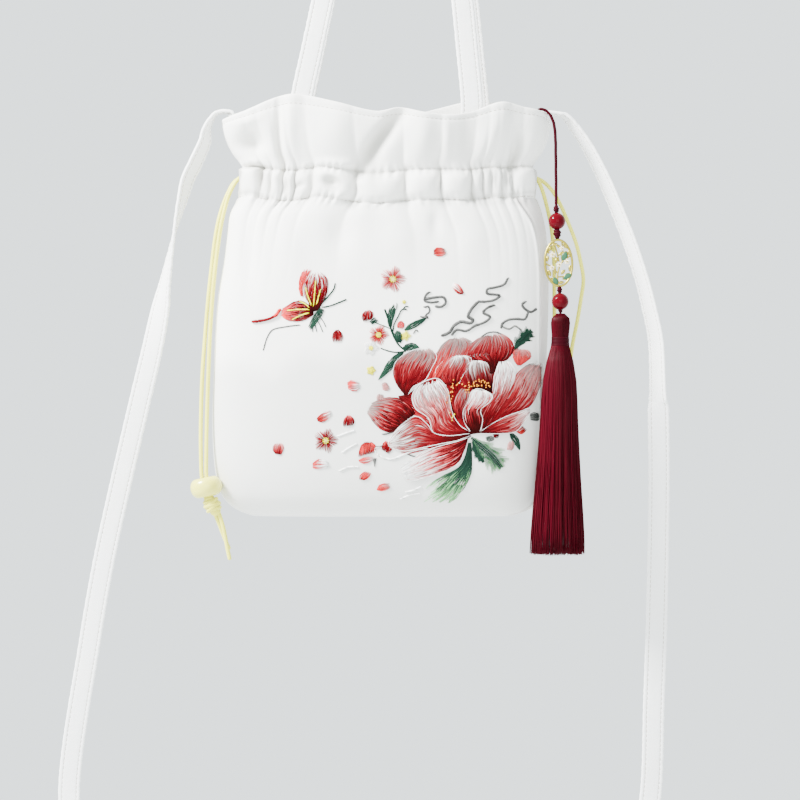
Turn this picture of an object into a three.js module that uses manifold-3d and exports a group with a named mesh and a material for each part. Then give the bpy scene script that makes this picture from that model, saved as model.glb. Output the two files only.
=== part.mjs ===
// A small drawstring purse of white cloth, hung up by its two carrying handles.
// Millimetres, +Z up, the front faces -Y. The origin is the hang point, under the handles' tops.

import * as THREE from 'three';
import { mergeVertices } from 'three/addons/utils/BufferGeometryUtils.js';
import Module from 'manifold-3d';

const wasm = await Module();
wasm.setup();

// Driving sizes of the pouch
const BODY_WIDTH = 200;
const BODY_DEPTH = 66;
const BODY_HEIGHT = 188;
const NECK_TAKE_IN = 23;
const CASING_DEPTH = 42;
const CASING_HEIGHT = 18;
const RIM_TAKE_IN = 3;
const RIM_DEPTH = 54;
const FRILL_HEIGHT = 36;
const CLOTH_WALL = 1.6;
const GATHER_BULGE = 5;
const FOLD_DEPTH = 6;
const NECK_RISE = 5.5;
const ROLL_ROUNDNESS = 2.4;
const SEAT_GAP = 0.35;

// Driving sizes of the handles and the shoulder strap
const HANDLE_WIDTH = 13;
const HANDLE_THICKNESS = 2;
const HANDLE_DROP = 152.5;
const HANDLE_SPREAD = 101;
const HANDLE_CENTRE_X = -3.7;
const HANDLE_TUCK = 22;
const APEX_GAP = 0.8;
const BACK_LEG_SHIFT = 5;
const STRAP_WIDTH = 13;
const STRAP_THICKNESS = 2;
const STRAP_TUCK = 18;
const STRAP_DROP = 407;
const STRAP_SPREAD_LEFT = 91.7;
const STRAP_SPREAD_RIGHT = 65.3;
const STRAP_SAG = 120;

// Driving sizes of the cords, their beads and their knots
const DRAWCORD_DIAMETER = 2.4;
const CORD_BEAD_DIAMETER = 19;
const CORD_BEAD_HEIGHT = 11.5;
const CORD_BEAD_BORE = 6.6;
const CORD_KNOT_DIAMETER = 12;
const CORD_KNOT_HEIGHT = 9.5;

// Driving sizes of the pendant
const TASSEL_CORD_DIAMETER = 1.9;
const THREAD_DIAMETER = 1.6;
const BEAD_DIAMETER = 10.2;
const BEAD_BORE = 2.3;
const CHARM_WIDTH = 17.7;
const CHARM_HEIGHT = 29.3;
const CHARM_WIRE = 1.5;
const BRANCH_RADIUS = 0.54;
const LEAF_RISE = 0.675;
const TASSEL_HEAD_DIAMETER = 11;
const TASSEL_HEAD_HEIGHT = 19.5;
const TASSEL_SKIRT_DIAMETER = 33;
const TASSEL_SKIRT_HEIGHT = 124;
const TASSEL_LOCKS = 16;
const TASSEL_FLATNESS = 0.86;
const TASSEL_END_RISE = 1.2;

// Lengths along the pendant's line, down from the foot of its cord
const PENDANT_HEIGHT = 64.9;
const TOP_KNOT_RADIUS = 1.7;
const MIDDLE_KNOT_RADIUS = 2.2;
const LOW_KNOT_RADIUS = 1.3;
const TOP_KNOT_DROP = 3.0;
const UPPER_BEAD_DROP = 10.2;
const CHARM_DROP = 35.2;
const LOWER_BEAD_DROP = 58.2;

// Fineness of the meshes
const COLUMN_STEP = 7.2;
const BAND_STEP = 12;
const CORD_STEPS = 32;
const CORD_SIDES = 8;
const BEAD_STEPS = 8;
const CORD_BEAD_SIDES = 16;
const CORD_KNOT_SIDES = 12;
const GLASS_BEAD_SIDES = 14;
const THREAD_SIDES = 10;
const OVAL_WIRE_SIDES = 6;
const OVAL_STEPS = 28;
const BRANCH_SIDES = 4;
const BLOSSOM_SIDES = 6;
const LEAF_SIDES = 6;
const LEAF_STEPS = 4;
const KNOT_SHOULDER = 0.45;
const WELD = 0.01;

// Widths and heights that the sizes above fix
const CASING_WIDTH = BODY_WIDTH - NECK_TAKE_IN;
const RIM_WIDTH = BODY_WIDTH - RIM_TAKE_IN;
const RIM_Z = -HANDLE_DROP;
const CASING_TOP_Z = RIM_Z - FRILL_HEIGHT;
const CASING_BOTTOM_Z = CASING_TOP_Z - CASING_HEIGHT;
const BASE_Z = CASING_BOTTOM_Z - BODY_HEIGHT;

// Sections of the pouch from the base up. Heights are shares of the zone's height, widths,
// depths and centres are shares of the zone's width and depth, corner is the exponent of the
// section's outline, and gather is how much of the casing's gathers still shows there.
const BODY_SECTIONS = [
  { height: 0.0, width: 0.78, depth: 0.62, centre: -0.03, corner: 2.6, gather: 0 },
  { height: 0.012, width: 0.85, depth: 0.72, centre: -0.03, corner: 2.7, gather: 0 },
  { height: 0.035, width: 0.92, depth: 0.82, centre: -0.03, corner: 2.8, gather: 0 },
  { height: 0.07, width: 0.965, depth: 0.91, centre: -0.034, corner: 2.9, gather: 0 },
  { height: 0.14, width: 0.993, depth: 0.98, centre: -0.037, corner: 3.0, gather: 0 },
  { height: 0.25, width: 1.0, depth: 1.0, centre: -0.039, corner: 3.0, gather: 0 },
  { height: 0.48, width: 0.998, depth: 0.975, centre: -0.037, corner: 3.0, gather: 0 },
  { height: 0.69, width: 0.987, depth: 0.91, centre: -0.029, corner: 2.9, gather: 0.04 },
  { height: 0.8, width: 0.974, depth: 0.85, centre: -0.021, corner: 2.8, gather: 0.12 },
  { height: 0.89, width: 0.957, depth: 0.78, centre: -0.019, corner: 2.7, gather: 0.25 },
  { height: 0.95, width: 0.935, depth: 0.72, centre: -0.021, corner: 2.5, gather: 0.38 },
];
const CASING_SECTIONS = [
  { height: 0.0, width: 1.01, depth: 1.0, centre: -0.02, corner: 2.3, gather: 0.5 },
  { height: 0.28, width: 1.0, depth: 1.0, centre: -0.018, corner: 2.2, gather: 0.95 },
  { height: 0.68, width: 1.0, depth: 1.0, centre: -0.017, corner: 2.2, gather: 1.0 },
  { height: 1.0, width: 0.99, depth: 0.98, centre: -0.017, corner: 2.2, gather: 0.5 },
];
const FRILL_SECTIONS = [
  { height: 0.1, width: 0.9, depth: 0.8, centre: -0.017, corner: 2.1, gather: 0.42 },
  { height: 0.27, width: 0.938, depth: 0.86, centre: -0.018, corner: 2.1, gather: 0.36 },
  { height: 0.48, width: 0.968, depth: 0.93, centre: -0.019, corner: 2.1, gather: 0.27 },
  { height: 0.72, width: 0.988, depth: 0.98, centre: -0.02, corner: 2.1, gather: 0.18 },
  { height: 1.0, width: 1.0, depth: 1.0, centre: -0.021, corner: 2.1, gather: 0.12 },
];

// Rolls of the gathered casing, from the left seam across the front to the right seam.
// crease is where a roll begins, as a share of the half-width, and full is how full it is.
const ROLLS = [
  { crease: -1.0, full: 0.75 },
  { crease: -0.844, full: 0.4 },
  { crease: -0.769, full: 0.7 },
  { crease: -0.687, full: 0.6 },
  { crease: -0.599, full: 0.5 },
  { crease: -0.476, full: 1.0 },
  { crease: -0.184, full: 0.9 },
  { crease: 0.095, full: 1.0 },
  { crease: 0.32, full: 1.0 },
  { crease: 0.531, full: 0.5 },
  { crease: 0.612, full: 0.4 },
  { crease: 0.673, full: 0.6 },
  { crease: 0.748, full: 0.5 },
  { crease: 0.823, full: 0.75 },
  { crease: 1.0, full: 0 },
];

// Folds of the frill: places at the foot and at the rim and widths as shares of the half-width,
// push as a share of the fold depth, outwards where positive, low and high as shares of the frill.
const FRILL_FOLDS = [
  { foot: -0.687, rim: -0.634, width: 0.022, push: -0.6, low: -0.3, high: 1.1 },
  { foot: -0.62, rim: -0.55, width: 0.05, push: 0.35, low: -0.1, high: 1.3 },
  { foot: -0.85, rim: -0.85, width: 0.13, push: 0.45, low: 0.0, high: 1.3 },
  { foot: -0.88, rim: -0.8, width: 0.08, push: -0.7, low: 0.1, high: 0.8 },
  { foot: -0.16, rim: 0.085, width: 0.055, push: -0.9, low: -0.2, high: 1.1 },
  { foot: -0.35, rim: -0.25, width: 0.12, push: 0.4, low: 0.0, high: 1.3 },
  { foot: 0.2, rim: 0.22, width: 0.08, push: 0.5, low: 0.0, high: 1.3 },
  { foot: 0.36, rim: 0.34, width: 0.04, push: 0.3, low: -0.1, high: 1.1 },
  { foot: 0.5, rim: 0.47, width: 0.06, push: -0.3, low: 0.0, high: 1.2 },
  { foot: 0.62, rim: 0.68, width: 0.07, push: 0.4, low: 0.1, high: 1.3 },
  { foot: 0.84, rim: 0.8, width: 0.035, push: -0.6, low: -0.2, high: 0.7 },
  { foot: 0.93, rim: 0.9, width: 0.09, push: 0.35, low: 0.0, high: 1.3 },
];

// How much of the outside's rolls and folds the inside of the cloth follows
const INNER_FOLLOW = 0.8;

// Height that the strap's drop is measured from, above the rim, as a share of the frill's height
const STRAP_START_RISE = -0.153;

// Height of the rim along the half-width, as a share of the frill's height
const RIM_LINE = [
  { across: -1.0, rise: -0.17 },
  { across: -0.85, rise: -0.05 },
  { across: -0.64, rise: 0.17 },
  { across: -0.52, rise: 0.21 },
  { across: -0.29, rise: 0.09 },
  { across: -0.05, rise: -0.06 },
  { across: 0.07, rise: 0.0 },
  { across: 0.22, rise: -0.08 },
  { across: 0.39, rise: -0.11 },
  { across: 0.51, rise: -0.06 },
  { across: 0.68, rise: 0.09 },
  { across: 0.82, rise: 0.02 },
  { across: 0.96, rise: -0.07 },
  { across: 1.0, rise: -0.2 },
];

// Route of a handle from its left leg over the hang point to its right leg. side is a share of
// half the spread, rise of the drop, lean is how far it has come from the rim to the apex in
// depth, and turn is the way of its width, in degrees from +X about +Z.
const HANDLE_ROUTE = [
  { side: -1.0, rise: 0.04, lean: 0.0, turn: 0 },
  { side: -0.875, rise: 0.24, lean: 0.2, turn: 0 },
  { side: -0.755, rise: 0.43, lean: 0.42, turn: 0 },
  { side: -0.67, rise: 0.57, lean: 0.6, turn: 20 },
  { side: -0.575, rise: 0.7, lean: 0.78, turn: 55 },
  { side: -0.43, rise: 0.85, lean: 0.93, turn: 84 },
  { side: -0.2, rise: 0.965, lean: 1.0, turn: 90 },
  { side: 0.073, rise: 1.0, lean: 1.0, turn: 90 },
  { side: 0.34, rise: 0.965, lean: 1.0, turn: 90 },
  { side: 0.6, rise: 0.85, lean: 0.93, turn: 96 },
  { side: 0.76, rise: 0.7, lean: 0.78, turn: 125 },
  { side: 0.84, rise: 0.57, lean: 0.6, turn: 160 },
  { side: 0.89, rise: 0.43, lean: 0.42, turn: 180 },
  { side: 0.945, rise: 0.24, lean: 0.2, turn: 180 },
  { side: 1.0, rise: 0.04, lean: 0.0, turn: 180 },
];

// Route of the shoulder strap outside the pouch, down its left side and down its right side.
// out is a share of that side's spread, drop of the strap's drop, turn is the way of its width.
const STRAP_LEFT = [
  { out: 0.097, drop: 0.01, turn: -105 },
  { out: 0.112, drop: 0.03, turn: -118 },
  { out: 0.169, drop: 0.06, turn: -125 },
  { out: 0.221, drop: 0.084, turn: -122 },
  { out: 0.261, drop: 0.117, turn: -110 },
  { out: 0.301, drop: 0.153, turn: -92 },
  { out: 0.372, drop: 0.238, turn: -58 },
  { out: 0.408, drop: 0.283, turn: -28 },
  { out: 0.457, drop: 0.337, turn: -12 },
  { out: 0.535, drop: 0.411, turn: -3 },
  { out: 0.686, drop: 0.558, turn: 0 },
  { out: 0.771, drop: 0.647, turn: 0 },
  { out: 0.863, drop: 0.765, turn: 0 },
  { out: 1.0, drop: 1.0, turn: 0 },
];
const STRAP_RIGHT = [
  { out: 0.13, drop: -0.008, turn: -78 },
  { out: 0.219, drop: 0.008, turn: -66 },
  { out: 0.338, drop: 0.036, turn: -60 },
  { out: 0.476, drop: 0.078, turn: -57 },
  { out: 0.596, drop: 0.122, turn: -56 },
  { out: 0.729, drop: 0.176, turn: -55 },
  { out: 0.844, drop: 0.232, turn: -54 },
  { out: 0.917, drop: 0.278, turn: -52 },
  { out: 0.972, drop: 0.322, turn: -50 },
  { out: 0.991, drop: 0.404, turn: -42 },
  { out: 0.996, drop: 0.43, turn: -8 },
  { out: 1.0, drop: 0.529, turn: 0 },
  { out: 0.982, drop: 0.706, turn: 0 },
  { out: 0.954, drop: 0.853, turn: 0 },
  { out: 0.917, drop: 1.0, turn: 0 },
];

// Cord routes, as points chosen along the real cord, in millimetres: how far out from the
// casing's end on that side, how far in depth, and how far under the rim
const LEFT_FRONT_ROUTE = [
  [0.7, -1.6, 39.9], [3.1, -2.4, 42.7], [6.7, -4.0, 49.9], [9.4, -5.4, 59.5],
  [11.5, -6.6, 69.5], [13.9, -8.0, 87.5], [16.1, -9.3, 109.5], [17.6, -10.4, 132.5],
  [18.6, -11.8, 157.5], [19.3, -13.4, 182.5], [19.6, -15.4, 205.5], [19.5, -16.6, 218.0],
  [18.3, -17.0, 224.5], [16.9, -17.1, 230.5], [14.5, -17.3, 235.5], [12.1, -17.4, 239.9],
  [9.9, -17.7, 246.5], [8.1, -17.8, 254.5], [6.9, -17.6, 261.1], [5.7, -17.7, 266.9],
];
const LEFT_BACK_ROUTE = [
  [0.7, 1.5, 39.5], [3.9, 1.6, 42.1], [8.3, 0.6, 50.1], [11.9, -0.9, 60.5],
  [14.7, -2.4, 73.5], [17.1, -4.2, 93.5], [19.3, -6.4, 115.5], [20.9, -8.4, 137.5],
  [22.3, -11.0, 159.5], [22.9, -13.4, 183.5], [22.8, -15.6, 205.5], [22.2, -16.7, 218.0],
  [21.0, -17.0, 224.5], [19.6, -17.1, 230.5], [17.2, -17.1, 235.5], [14.7, -16.8, 239.9],
  [12.5, -15.8, 245.1], [10.1, -15.2, 251.5], [7.9, -14.6, 257.0], [6.3, -14.4, 260.9],
];
const RIGHT_FRONT_ROUTE = [
  [0.7, -1.6, 39.9], [2.7, -1.4, 43.5], [4.7, -1.0, 49.1], [6.8, -0.4, 56.5],
  [8.8, 0.2, 65.5], [10.3, 0.8, 75.5], [11.1, 1.4, 89.5], [11.4, 2.0, 109.5],
  [11.5, 2.6, 132.5], [11.8, 3.0, 157.5], [12.4, 3.2, 182.5], [13.3, 3.2, 205.5],
  [14.2, 3.1, 216.5], [14.6, 3.0, 224.5], [14.6, 3.0, 232.5], [14.4, 3.0, 241.5],
  [13.3, 3.4, 247.5], [11.7, 3.9, 254.5], [10.5, 4.2, 260.5],
];
const RIGHT_BACK_ROUTE = [
  [0.7, 1.6, 39.5], [4.7, 2.4, 41.5], [10.1, 3.4, 46.9], [15.1, 4.4, 55.1],
  [20.3, 5.4, 67.1], [24.9, 6.0, 79.1], [27.7, 6.2, 91.1], [29.1, 6.2, 100.7],
  [27.3, 5.8, 113.5], [25.1, 5.2, 126.5], [22.1, 4.6, 141.5], [19.5, 4.0, 165.5],
  [18.1, 3.5, 191.5], [17.5, 3.2, 211.5], [17.3, 3.0, 224.5], [17.3, 3.0, 232.5],
  [17.5, 3.0, 241.5], [18.7, 3.5, 247.5], [20.1, 4.0, 253.0], [21.1, 4.2, 258.5],
];
const TASSEL_CORD_ROUTE = [
  [-2.1, -9.2, 13.5], [-1.7, -9.2, 6.5], [-0.5, -9.2, 1.7], [2.7, -9.4, -0.9],
  [6.3, -9.8, 0.3], [9.1, -10.2, 3.9], [10.7, -10.5, 8.7], [11.4, -10.8, 15.1],
  [11.6, -11.2, 23.5], [11.7, -11.8, 35.5], [11.8, -12.5, 47.5], [11.8, -13.1, 55.7],
];
const CORD_ENDS = [
  { side: 'left', way: -1, bead: [19.6, -17.0, 224.5], tilt: 12, knot: [18.0, -17.2, 231.4], lean: 28 },
  { side: 'right', way: 1, bead: [15.95, 3.0, 224.5], tilt: 0, knot: [15.95, 3.0, 231.1], lean: 0 },
];

// Where the pendant's line starts, measured as the cords are, and how far the line and the
// tassel lean to the right and in depth, as shares of their height
const PENDANT_TOP = [11.8, -13.1, 56.0];
const PENDANT_LEAN = [0.0354, -0.114];
const TASSEL_LEAN = [-0.0154, -0.0419];

// Smooth value of one column of a table at a place along its key column
function along(rows, key, column, place) {
  const last = rows.length - 1;
  const slope = (row) => {
    const before = rows[Math.max(row - 1, 0)];
    const after = rows[Math.min(row + 1, last)];
    return (after[column] - before[column]) / (after[key] - before[key]);
  };
  let row = 0;
  while (row < last - 1 && place > rows[row + 1][key]) row += 1;
  const span = rows[row + 1][key] - rows[row][key];
  const t = THREE.MathUtils.clamp((place - rows[row][key]) / span, 0, 1);
  const start = rows[row][column];
  const end = rows[row + 1][column];
  const square = t * t;
  const cube = square * t;
  return start * (2 * cube - 3 * square + 1) + end * (3 * square - 2 * cube)
    + span * (slope(row) * (cube - 2 * square + t) + slope(row + 1) * (cube - square));
}

// A closed mesh from rings of points, with a fan over the first ring and over the last
function loftGeometry(rings) {
  const count = rings[0].length;
  const points = rings.flat();
  const faces = [];
  for (let ring = 0; ring < rings.length - 1; ring += 1) {
    for (let i = 0; i < count; i += 1) {
      const a = ring * count + i;
      const b = ring * count + (i + 1) % count;
      faces.push(a, b, b + count, a, b + count, a + count);
    }
  }
  const addFan = (start, reversed) => {
    const centre = new THREE.Vector3();
    for (let i = 0; i < count; i += 1) centre.addScaledVector(points[start + i], 1 / count);
    points.push(centre);
    for (let i = 0; i < count; i += 1) {
      const edge = [start + i, start + (i + 1) % count];
      if (reversed) edge.reverse();
      faces.push(edge[0], edge[1], points.length - 1);
    }
  };
  addFan(0, true);
  addFan((rings.length - 1) * count, false);
  const geometry = new THREE.BufferGeometry().setFromPoints(points);
  geometry.setIndex(signedVolume(points, faces) > 0 ? faces : faces.reverse());
  return geometry;
}

// Volume inside a closed mesh, positive where its faces point out
function signedVolume(points, faces) {
  let volume = 0;
  const normal = new THREE.Vector3();
  for (let i = 0; i < faces.length; i += 3) {
    normal.crossVectors(points[faces[i + 1]], points[faces[i + 2]]);
    volume += points[faces[i]].dot(normal) / 6;
  }
  return volume;
}

// Sections of the whole pouch in millimetres, by height
function zoneLevels(sections, foot, height, width, depth) {
  return sections.map((section) => ({
    z: foot + section.height * height,
    halfWidth: section.width * width / 2,
    halfDepth: section.depth * depth / 2,
    centre: section.centre * width,
    corner: section.corner,
    gather: section.gather,
  }));
}

const LEVELS = [
  ...zoneLevels(BODY_SECTIONS, BASE_Z, BODY_HEIGHT, BODY_WIDTH, BODY_DEPTH),
  ...zoneLevels(CASING_SECTIONS, CASING_BOTTOM_Z, CASING_HEIGHT, CASING_WIDTH, CASING_DEPTH),
  ...zoneLevels(FRILL_SECTIONS, CASING_TOP_Z, FRILL_HEIGHT, RIM_WIDTH, RIM_DEPTH),
];

// How far a roll of the casing stands out at a place across the front
function rollAt(across) {
  let roll = 0;
  while (roll < ROLLS.length - 2 && across >= ROLLS[roll + 1].crease) roll += 1;
  const width = ROLLS[roll + 1].crease - ROLLS[roll].crease;
  const t = (across - ROLLS[roll].crease) / width;
  return ROLLS[roll].full * (1 - Math.abs(2 * t - 1) ** ROLL_ROUNDNESS);
}

// How far the frill's folds push the cloth out at a place across and a share of its height
function foldAt(across, share) {
  let push = 0;
  for (const fold of FRILL_FOLDS) {
    if (share > fold.low && share < fold.high) {
      const centre = fold.foot + (fold.rim - fold.foot) * share;
      const rise = Math.sin(Math.PI * (share - fold.low) / (fold.high - fold.low));
      push += fold.push * rise * Math.exp(-(((across - centre) / fold.width) ** 2));
    }
  }
  return push;
}

// A point of the pouch's cloth. angle runs from the left seam across the front, inset is how
// far under the outer face it lies.
function pouchPoint(angle, level, inset) {
  const row = {};
  for (const column of ['halfWidth', 'halfDepth', 'centre', 'corner', 'gather']) {
    row[column] = along(LEVELS, 'z', column, level);
  }
  const front = Math.sin(angle) >= 0;
  const across = -Math.cos(angle);
  const place = front ? across : -across;
  const x = Math.sign(across) * Math.abs(across) ** (2 / row.corner);
  const y = -Math.sign(Math.sin(angle)) * Math.abs(Math.sin(angle)) ** (2 / row.corner);
  const normal = new THREE.Vector3(
    Math.sign(x) * Math.abs(x) ** (row.corner - 1) / row.halfWidth,
    Math.sign(y) * Math.abs(y) ** (row.corner - 1) / row.halfDepth,
    0,
  ).normalize();
  const frillShare = (level - CASING_TOP_Z) / FRILL_HEIGHT;
  const follow = inset > 0 ? INNER_FOLLOW : 1;
  const push = GATHER_BULGE * row.gather * rollAt(place) + FOLD_DEPTH * foldAt(place, frillShare);
  const rimShare = Math.max(frillShare, 0) ** 2;
  const rise = FRILL_HEIGHT * along(RIM_LINE, 'across', 'rise', place) * rimShare;
  const point = new THREE.Vector3(
    row.centre + row.halfWidth * x,
    row.halfDepth * y,
    level + rise + NECK_RISE * across * across * row.gather,
  );
  return point.addScaledVector(normal, push * follow - inset);
}

// Angles of the pouch's columns: each roll's crease and a few places between, front and back
function columnAngles() {
  const angles = [];
  const finest = COLUMN_STEP / (CASING_WIDTH / 2);
  for (let roll = 0; roll < ROLLS.length - 1; roll += 1) {
    const start = ROLLS[roll].crease;
    const width = ROLLS[roll + 1].crease - start;
    const parts = Math.max(2, Math.round(width / finest));
    for (let part = 0; part < parts; part += 1) {
      angles.push(Math.acos(-(start + width * part / parts)));
    }
  }
  return [...angles, ...angles.map((angle) => angle + Math.PI)];
}

function pouchGeometry() {
  const angles = columnAngles();
  const ring = (level, inset) => angles.map((angle) => pouchPoint(angle, level, inset));
  const outer = LEVELS.map((row) => ring(row.z, 0));
  const floor = BASE_Z + CLOTH_WALL;
  const above = LEVELS.filter((row) => row.z > floor + CLOTH_WALL);
  const innerLevels = above.filter((row, index) => row.z > CASING_TOP_Z || index % 2 === 0);
  const inner = innerLevels.map((row) => ring(row.z, CLOTH_WALL)).reverse();
  const rings = [...outer, ...inner, ring(floor, CLOTH_WALL)];
  return loftGeometry(rings);
}

// A point given by its distance out from a casing's end, its depth and its drop under the rim
function besideCasing([out, depth, drop], way) {
  const casing = LEVELS[BODY_SECTIONS.length + 2];
  return new THREE.Vector3(casing.centre + way * (casing.halfWidth + out), depth, RIM_Z - drop);
}

// Where the pendant's line meets the tassel
function pendantFoot() {
  const [right, depth] = PENDANT_LEAN;
  const way = new THREE.Vector3(right, depth, -1).multiplyScalar(PENDANT_HEIGHT);
  return besideCasing(PENDANT_TOP, 1).add(way);
}

// Points on the pouch's inside at some levels, where one coordinate lies between two values
function insideBetween(levels, axis, from, to) {
  const found = [];
  for (const level of levels) {
    const ring = columnAngles().map((angle) => pouchPoint(angle, level, CLOTH_WALL));
    ring.forEach((point, index) => {
      const next = ring[(index + 1) % ring.length];
      if (point[axis] >= from && point[axis] <= to) found.push(point);
      for (const edge of [from, to]) {
        const share = (edge - point[axis]) / (next[axis] - point[axis]);
        if (share > 0 && share < 1) found.push(point.clone().lerp(next, share));
      }
    });
  }
  return found;
}

// Heights where a band of some length is sewn to the frill's inside, from its end up to the rim
function tuckHeights(tuck) {
  return [1, 0.75, 0.5, 0.25, 0].map((share) => RIM_Z - tuck * share);
}

// Levels round a height, where the frill's wall is looked up. The rim line lifts the cloth by
// up to its highest rise, so they reach that far down.
function levelsNear(height) {
  const share = (height - CASING_TOP_Z) / FRILL_HEIGHT;
  const lift = FRILL_HEIGHT * Math.max(...RIM_LINE.map((row) => row.rise)) * share * share;
  const reach = FRILL_HEIGHT / 12;
  return [height - lift - reach, height - lift, height, Math.min(height + reach, RIM_Z)];
}

// A flat band swept along points, each with the way of its width in degrees
function bandGeometry(points, width, thickness) {
  const places = points.map((point) => new THREE.Vector3(point.x, point.y, point.z));
  const curve = new THREE.CatmullRomCurve3(places, false, 'centripetal');
  const spans = points.length - 1;
  const stations = [];
  for (let span = 0; span < spans; span += 1) {
    const reach = places[span].distanceTo(places[span + 1]);
    const parts = Math.max(1, Math.min(3, Math.round(reach / BAND_STEP)));
    for (let part = 0; part < parts; part += 1) stations.push(span + part / parts);
  }
  stations.push(spans);
  const rings = stations.map((station) => {
    const at = curve.getPoint(station / spans);
    const tangent = curve.getTangent(station / spans);
    const span = Math.min(Math.floor(station), spans - 1);
    const turn = THREE.MathUtils.lerp(points[span].turn, points[span + 1].turn, station - span);
    const radians = THREE.MathUtils.degToRad(turn);
    const side = new THREE.Vector3(Math.cos(radians), Math.sin(radians), 0);
    side.addScaledVector(tangent, -side.dot(tangent)).normalize();
    const face = new THREE.Vector3().crossVectors(side, tangent);
    return [[-1, -1], [1, -1], [1, 1], [-1, 1]].map(([across, through]) => at.clone()
      .addScaledVector(side, across * width / 2)
      .addScaledVector(face, through * thickness / 2));
  });
  return loftGeometry(rings);
}

function handleGeometry(back) {
  const out = back ? 1 : -1;
  const shift = back ? BACK_LEG_SHIFT : 0;
  const apexY = out * (HANDLE_WIDTH + APEX_GAP) / 2;
  const legX = (side) => HANDLE_CENTRE_X + side * HANDLE_SPREAD / 2 + (side > 0 ? side * shift : 0);
  const seat = HANDLE_THICKNESS / 2 + SEAT_GAP;
  const legY = (side, height) => {
    const half = HANDLE_WIDTH / 2 + SEAT_GAP * 2;
    const wall = insideBetween(levelsNear(height), 'x', legX(side) - half, legX(side) + half)
      .filter((point) => point.y * out > 0);
    return out * (Math.min(...wall.map((point) => point.y * out)) - seat);
  };
  const leg = (side, turn) => tuckHeights(HANDLE_TUCK).map((height) => ({
    x: legX(side),
    y: legY(side, height),
    z: height,
    turn,
  }));
  const leftLeg = leg(-1, 0);
  const rightLeg = leg(1, 180).reverse();
  const leftRimY = leftLeg[leftLeg.length - 1].y;
  const rightRimY = rightLeg[0].y;
  const apexZ = HANDLE_THICKNESS / 2;
  const route = HANDLE_ROUTE.map((row) => ({
    x: legX(row.side),
    y: THREE.MathUtils.lerp(row.side < 0 ? leftRimY : rightRimY, apexY, row.lean),
    z: apexZ - (1 - row.rise) * (HANDLE_DROP + apexZ),
    turn: row.turn,
  }));
  return bandGeometry([...leftLeg, ...route, ...rightLeg], HANDLE_WIDTH, HANDLE_THICKNESS);
}

// The stretch of the strap that is sewn inside a rim corner and comes over the rim
function strapRoot(side) {
  const rim = LEVELS[LEVELS.length - 1];
  const seat = SEAT_GAP + STRAP_THICKNESS / 2;
  const half = STRAP_WIDTH / 2 + SEAT_GAP;
  const wallX = (height) => {
    const wall = insideBetween(levelsNear(height), 'y', -half, half)
      .filter((point) => point.x * side > 0);
    return side * (Math.min(...wall.map((point) => point.x * side)) - seat);
  };
  const edge = insideBetween([RIM_Z], 'y', -half, half)
    .filter((point) => point.x * side > 0);
  const topZ = Math.max(...edge.map((point) => point.z)) + seat;
  const cornerX = rim.centre + side * rim.halfWidth;
  const drop = topZ - seat * 2 - RIM_Z;
  const tucked = tuckHeights(STRAP_TUCK).map((height) => ({
    x: wallX(height),
    y: 0,
    z: height + drop,
    turn: -90,
  }));
  const rimX = tucked[tucked.length - 1].x;
  return {
    cornerX,
    points: [
      ...tucked,
      { x: rimX + side * seat / 2, y: 0, z: topZ, turn: -90 },
      { x: (rimX + cornerX) / 2, y: 0, z: topZ + seat, turn: -90 },
      { x: cornerX + side * seat * 2, y: 0, z: topZ + seat / 2, turn: -90 },
    ],
  };
}

function strapGeometry() {
  const left = strapRoot(-1);
  const right = strapRoot(1);
  const top = RIM_Z + FRILL_HEIGHT * STRAP_START_RISE;
  const side = (table, root, way, spread) => table.map((row) => ({
    x: root.cornerX + way * row.out * spread,
    y: 0,
    z: top - row.drop * STRAP_DROP,
    turn: row.turn,
  }));
  const leftSide = side(STRAP_LEFT, left, -1, STRAP_SPREAD_LEFT);
  const rightSide = side(STRAP_RIGHT, right, 1, STRAP_SPREAD_RIGHT);
  const leftFoot = leftSide[leftSide.length - 1];
  const rightFoot = rightSide[rightSide.length - 1];
  const middle = (leftFoot.x + rightFoot.x) / 2;
  const reach = (rightFoot.x - leftFoot.x) / 2;
  const arc = [];
  for (let degrees = 18; degrees < 180; degrees += 18) {
    const radians = THREE.MathUtils.degToRad(degrees);
    const depth = Math.sin(radians);
    arc.push({
      x: middle - reach * Math.cos(radians),
      y: 0,
      z: leftFoot.z - STRAP_SAG * depth,
      turn: -90 * THREE.MathUtils.smoothstep(depth, 0, 0.9),
    });
  }
  const route = [
    ...left.points, ...leftSide, ...arc, ...rightSide.reverse(), ...right.points.reverse(),
  ];
  return bandGeometry(route, STRAP_WIDTH, STRAP_THICKNESS);
}

// A round cord along its route beside the pouch
function cordGeometry(route, way, diameter) {
  const corners = [];
  for (let side = 0; side < CORD_SIDES; side += 1) {
    const angle = 2 * Math.PI * (side + 0.5) / CORD_SIDES;
    corners.push(new THREE.Vector2(Math.cos(angle), Math.sin(angle)).multiplyScalar(diameter / 2));
  }
  const path = new THREE.CatmullRomCurve3(route.map((point) => besideCasing(point, way)));
  const sweep = { steps: CORD_STEPS, extrudePath: path };
  return new THREE.ExtrudeGeometry(new THREE.Shape(corners), sweep);
}

// A solid of revolution about Z. Each row is a radius and a height.
function turnedGeometry(rows, sides) {
  const profile = rows.map(([radius, height]) => new THREE.Vector2(radius, height));
  return new THREE.LatheGeometry(profile, sides).rotateX(Math.PI / 2);
}

// A bead with a bore: its outside is an arc of an ellipse that meets the bore
function beadGeometry(diameter, height, bore, sides) {
  const start = Math.acos(bore / diameter);
  const rows = [];
  for (let step = 0; step <= BEAD_STEPS; step += 1) {
    const angle = -start + 2 * start * step / BEAD_STEPS;
    rows.push([diameter / 2 * Math.cos(angle), height / 2 * Math.sin(angle) / Math.sin(start)]);
  }
  rows.push(rows[0]);
  return turnedGeometry(rows, sides);
}

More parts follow.
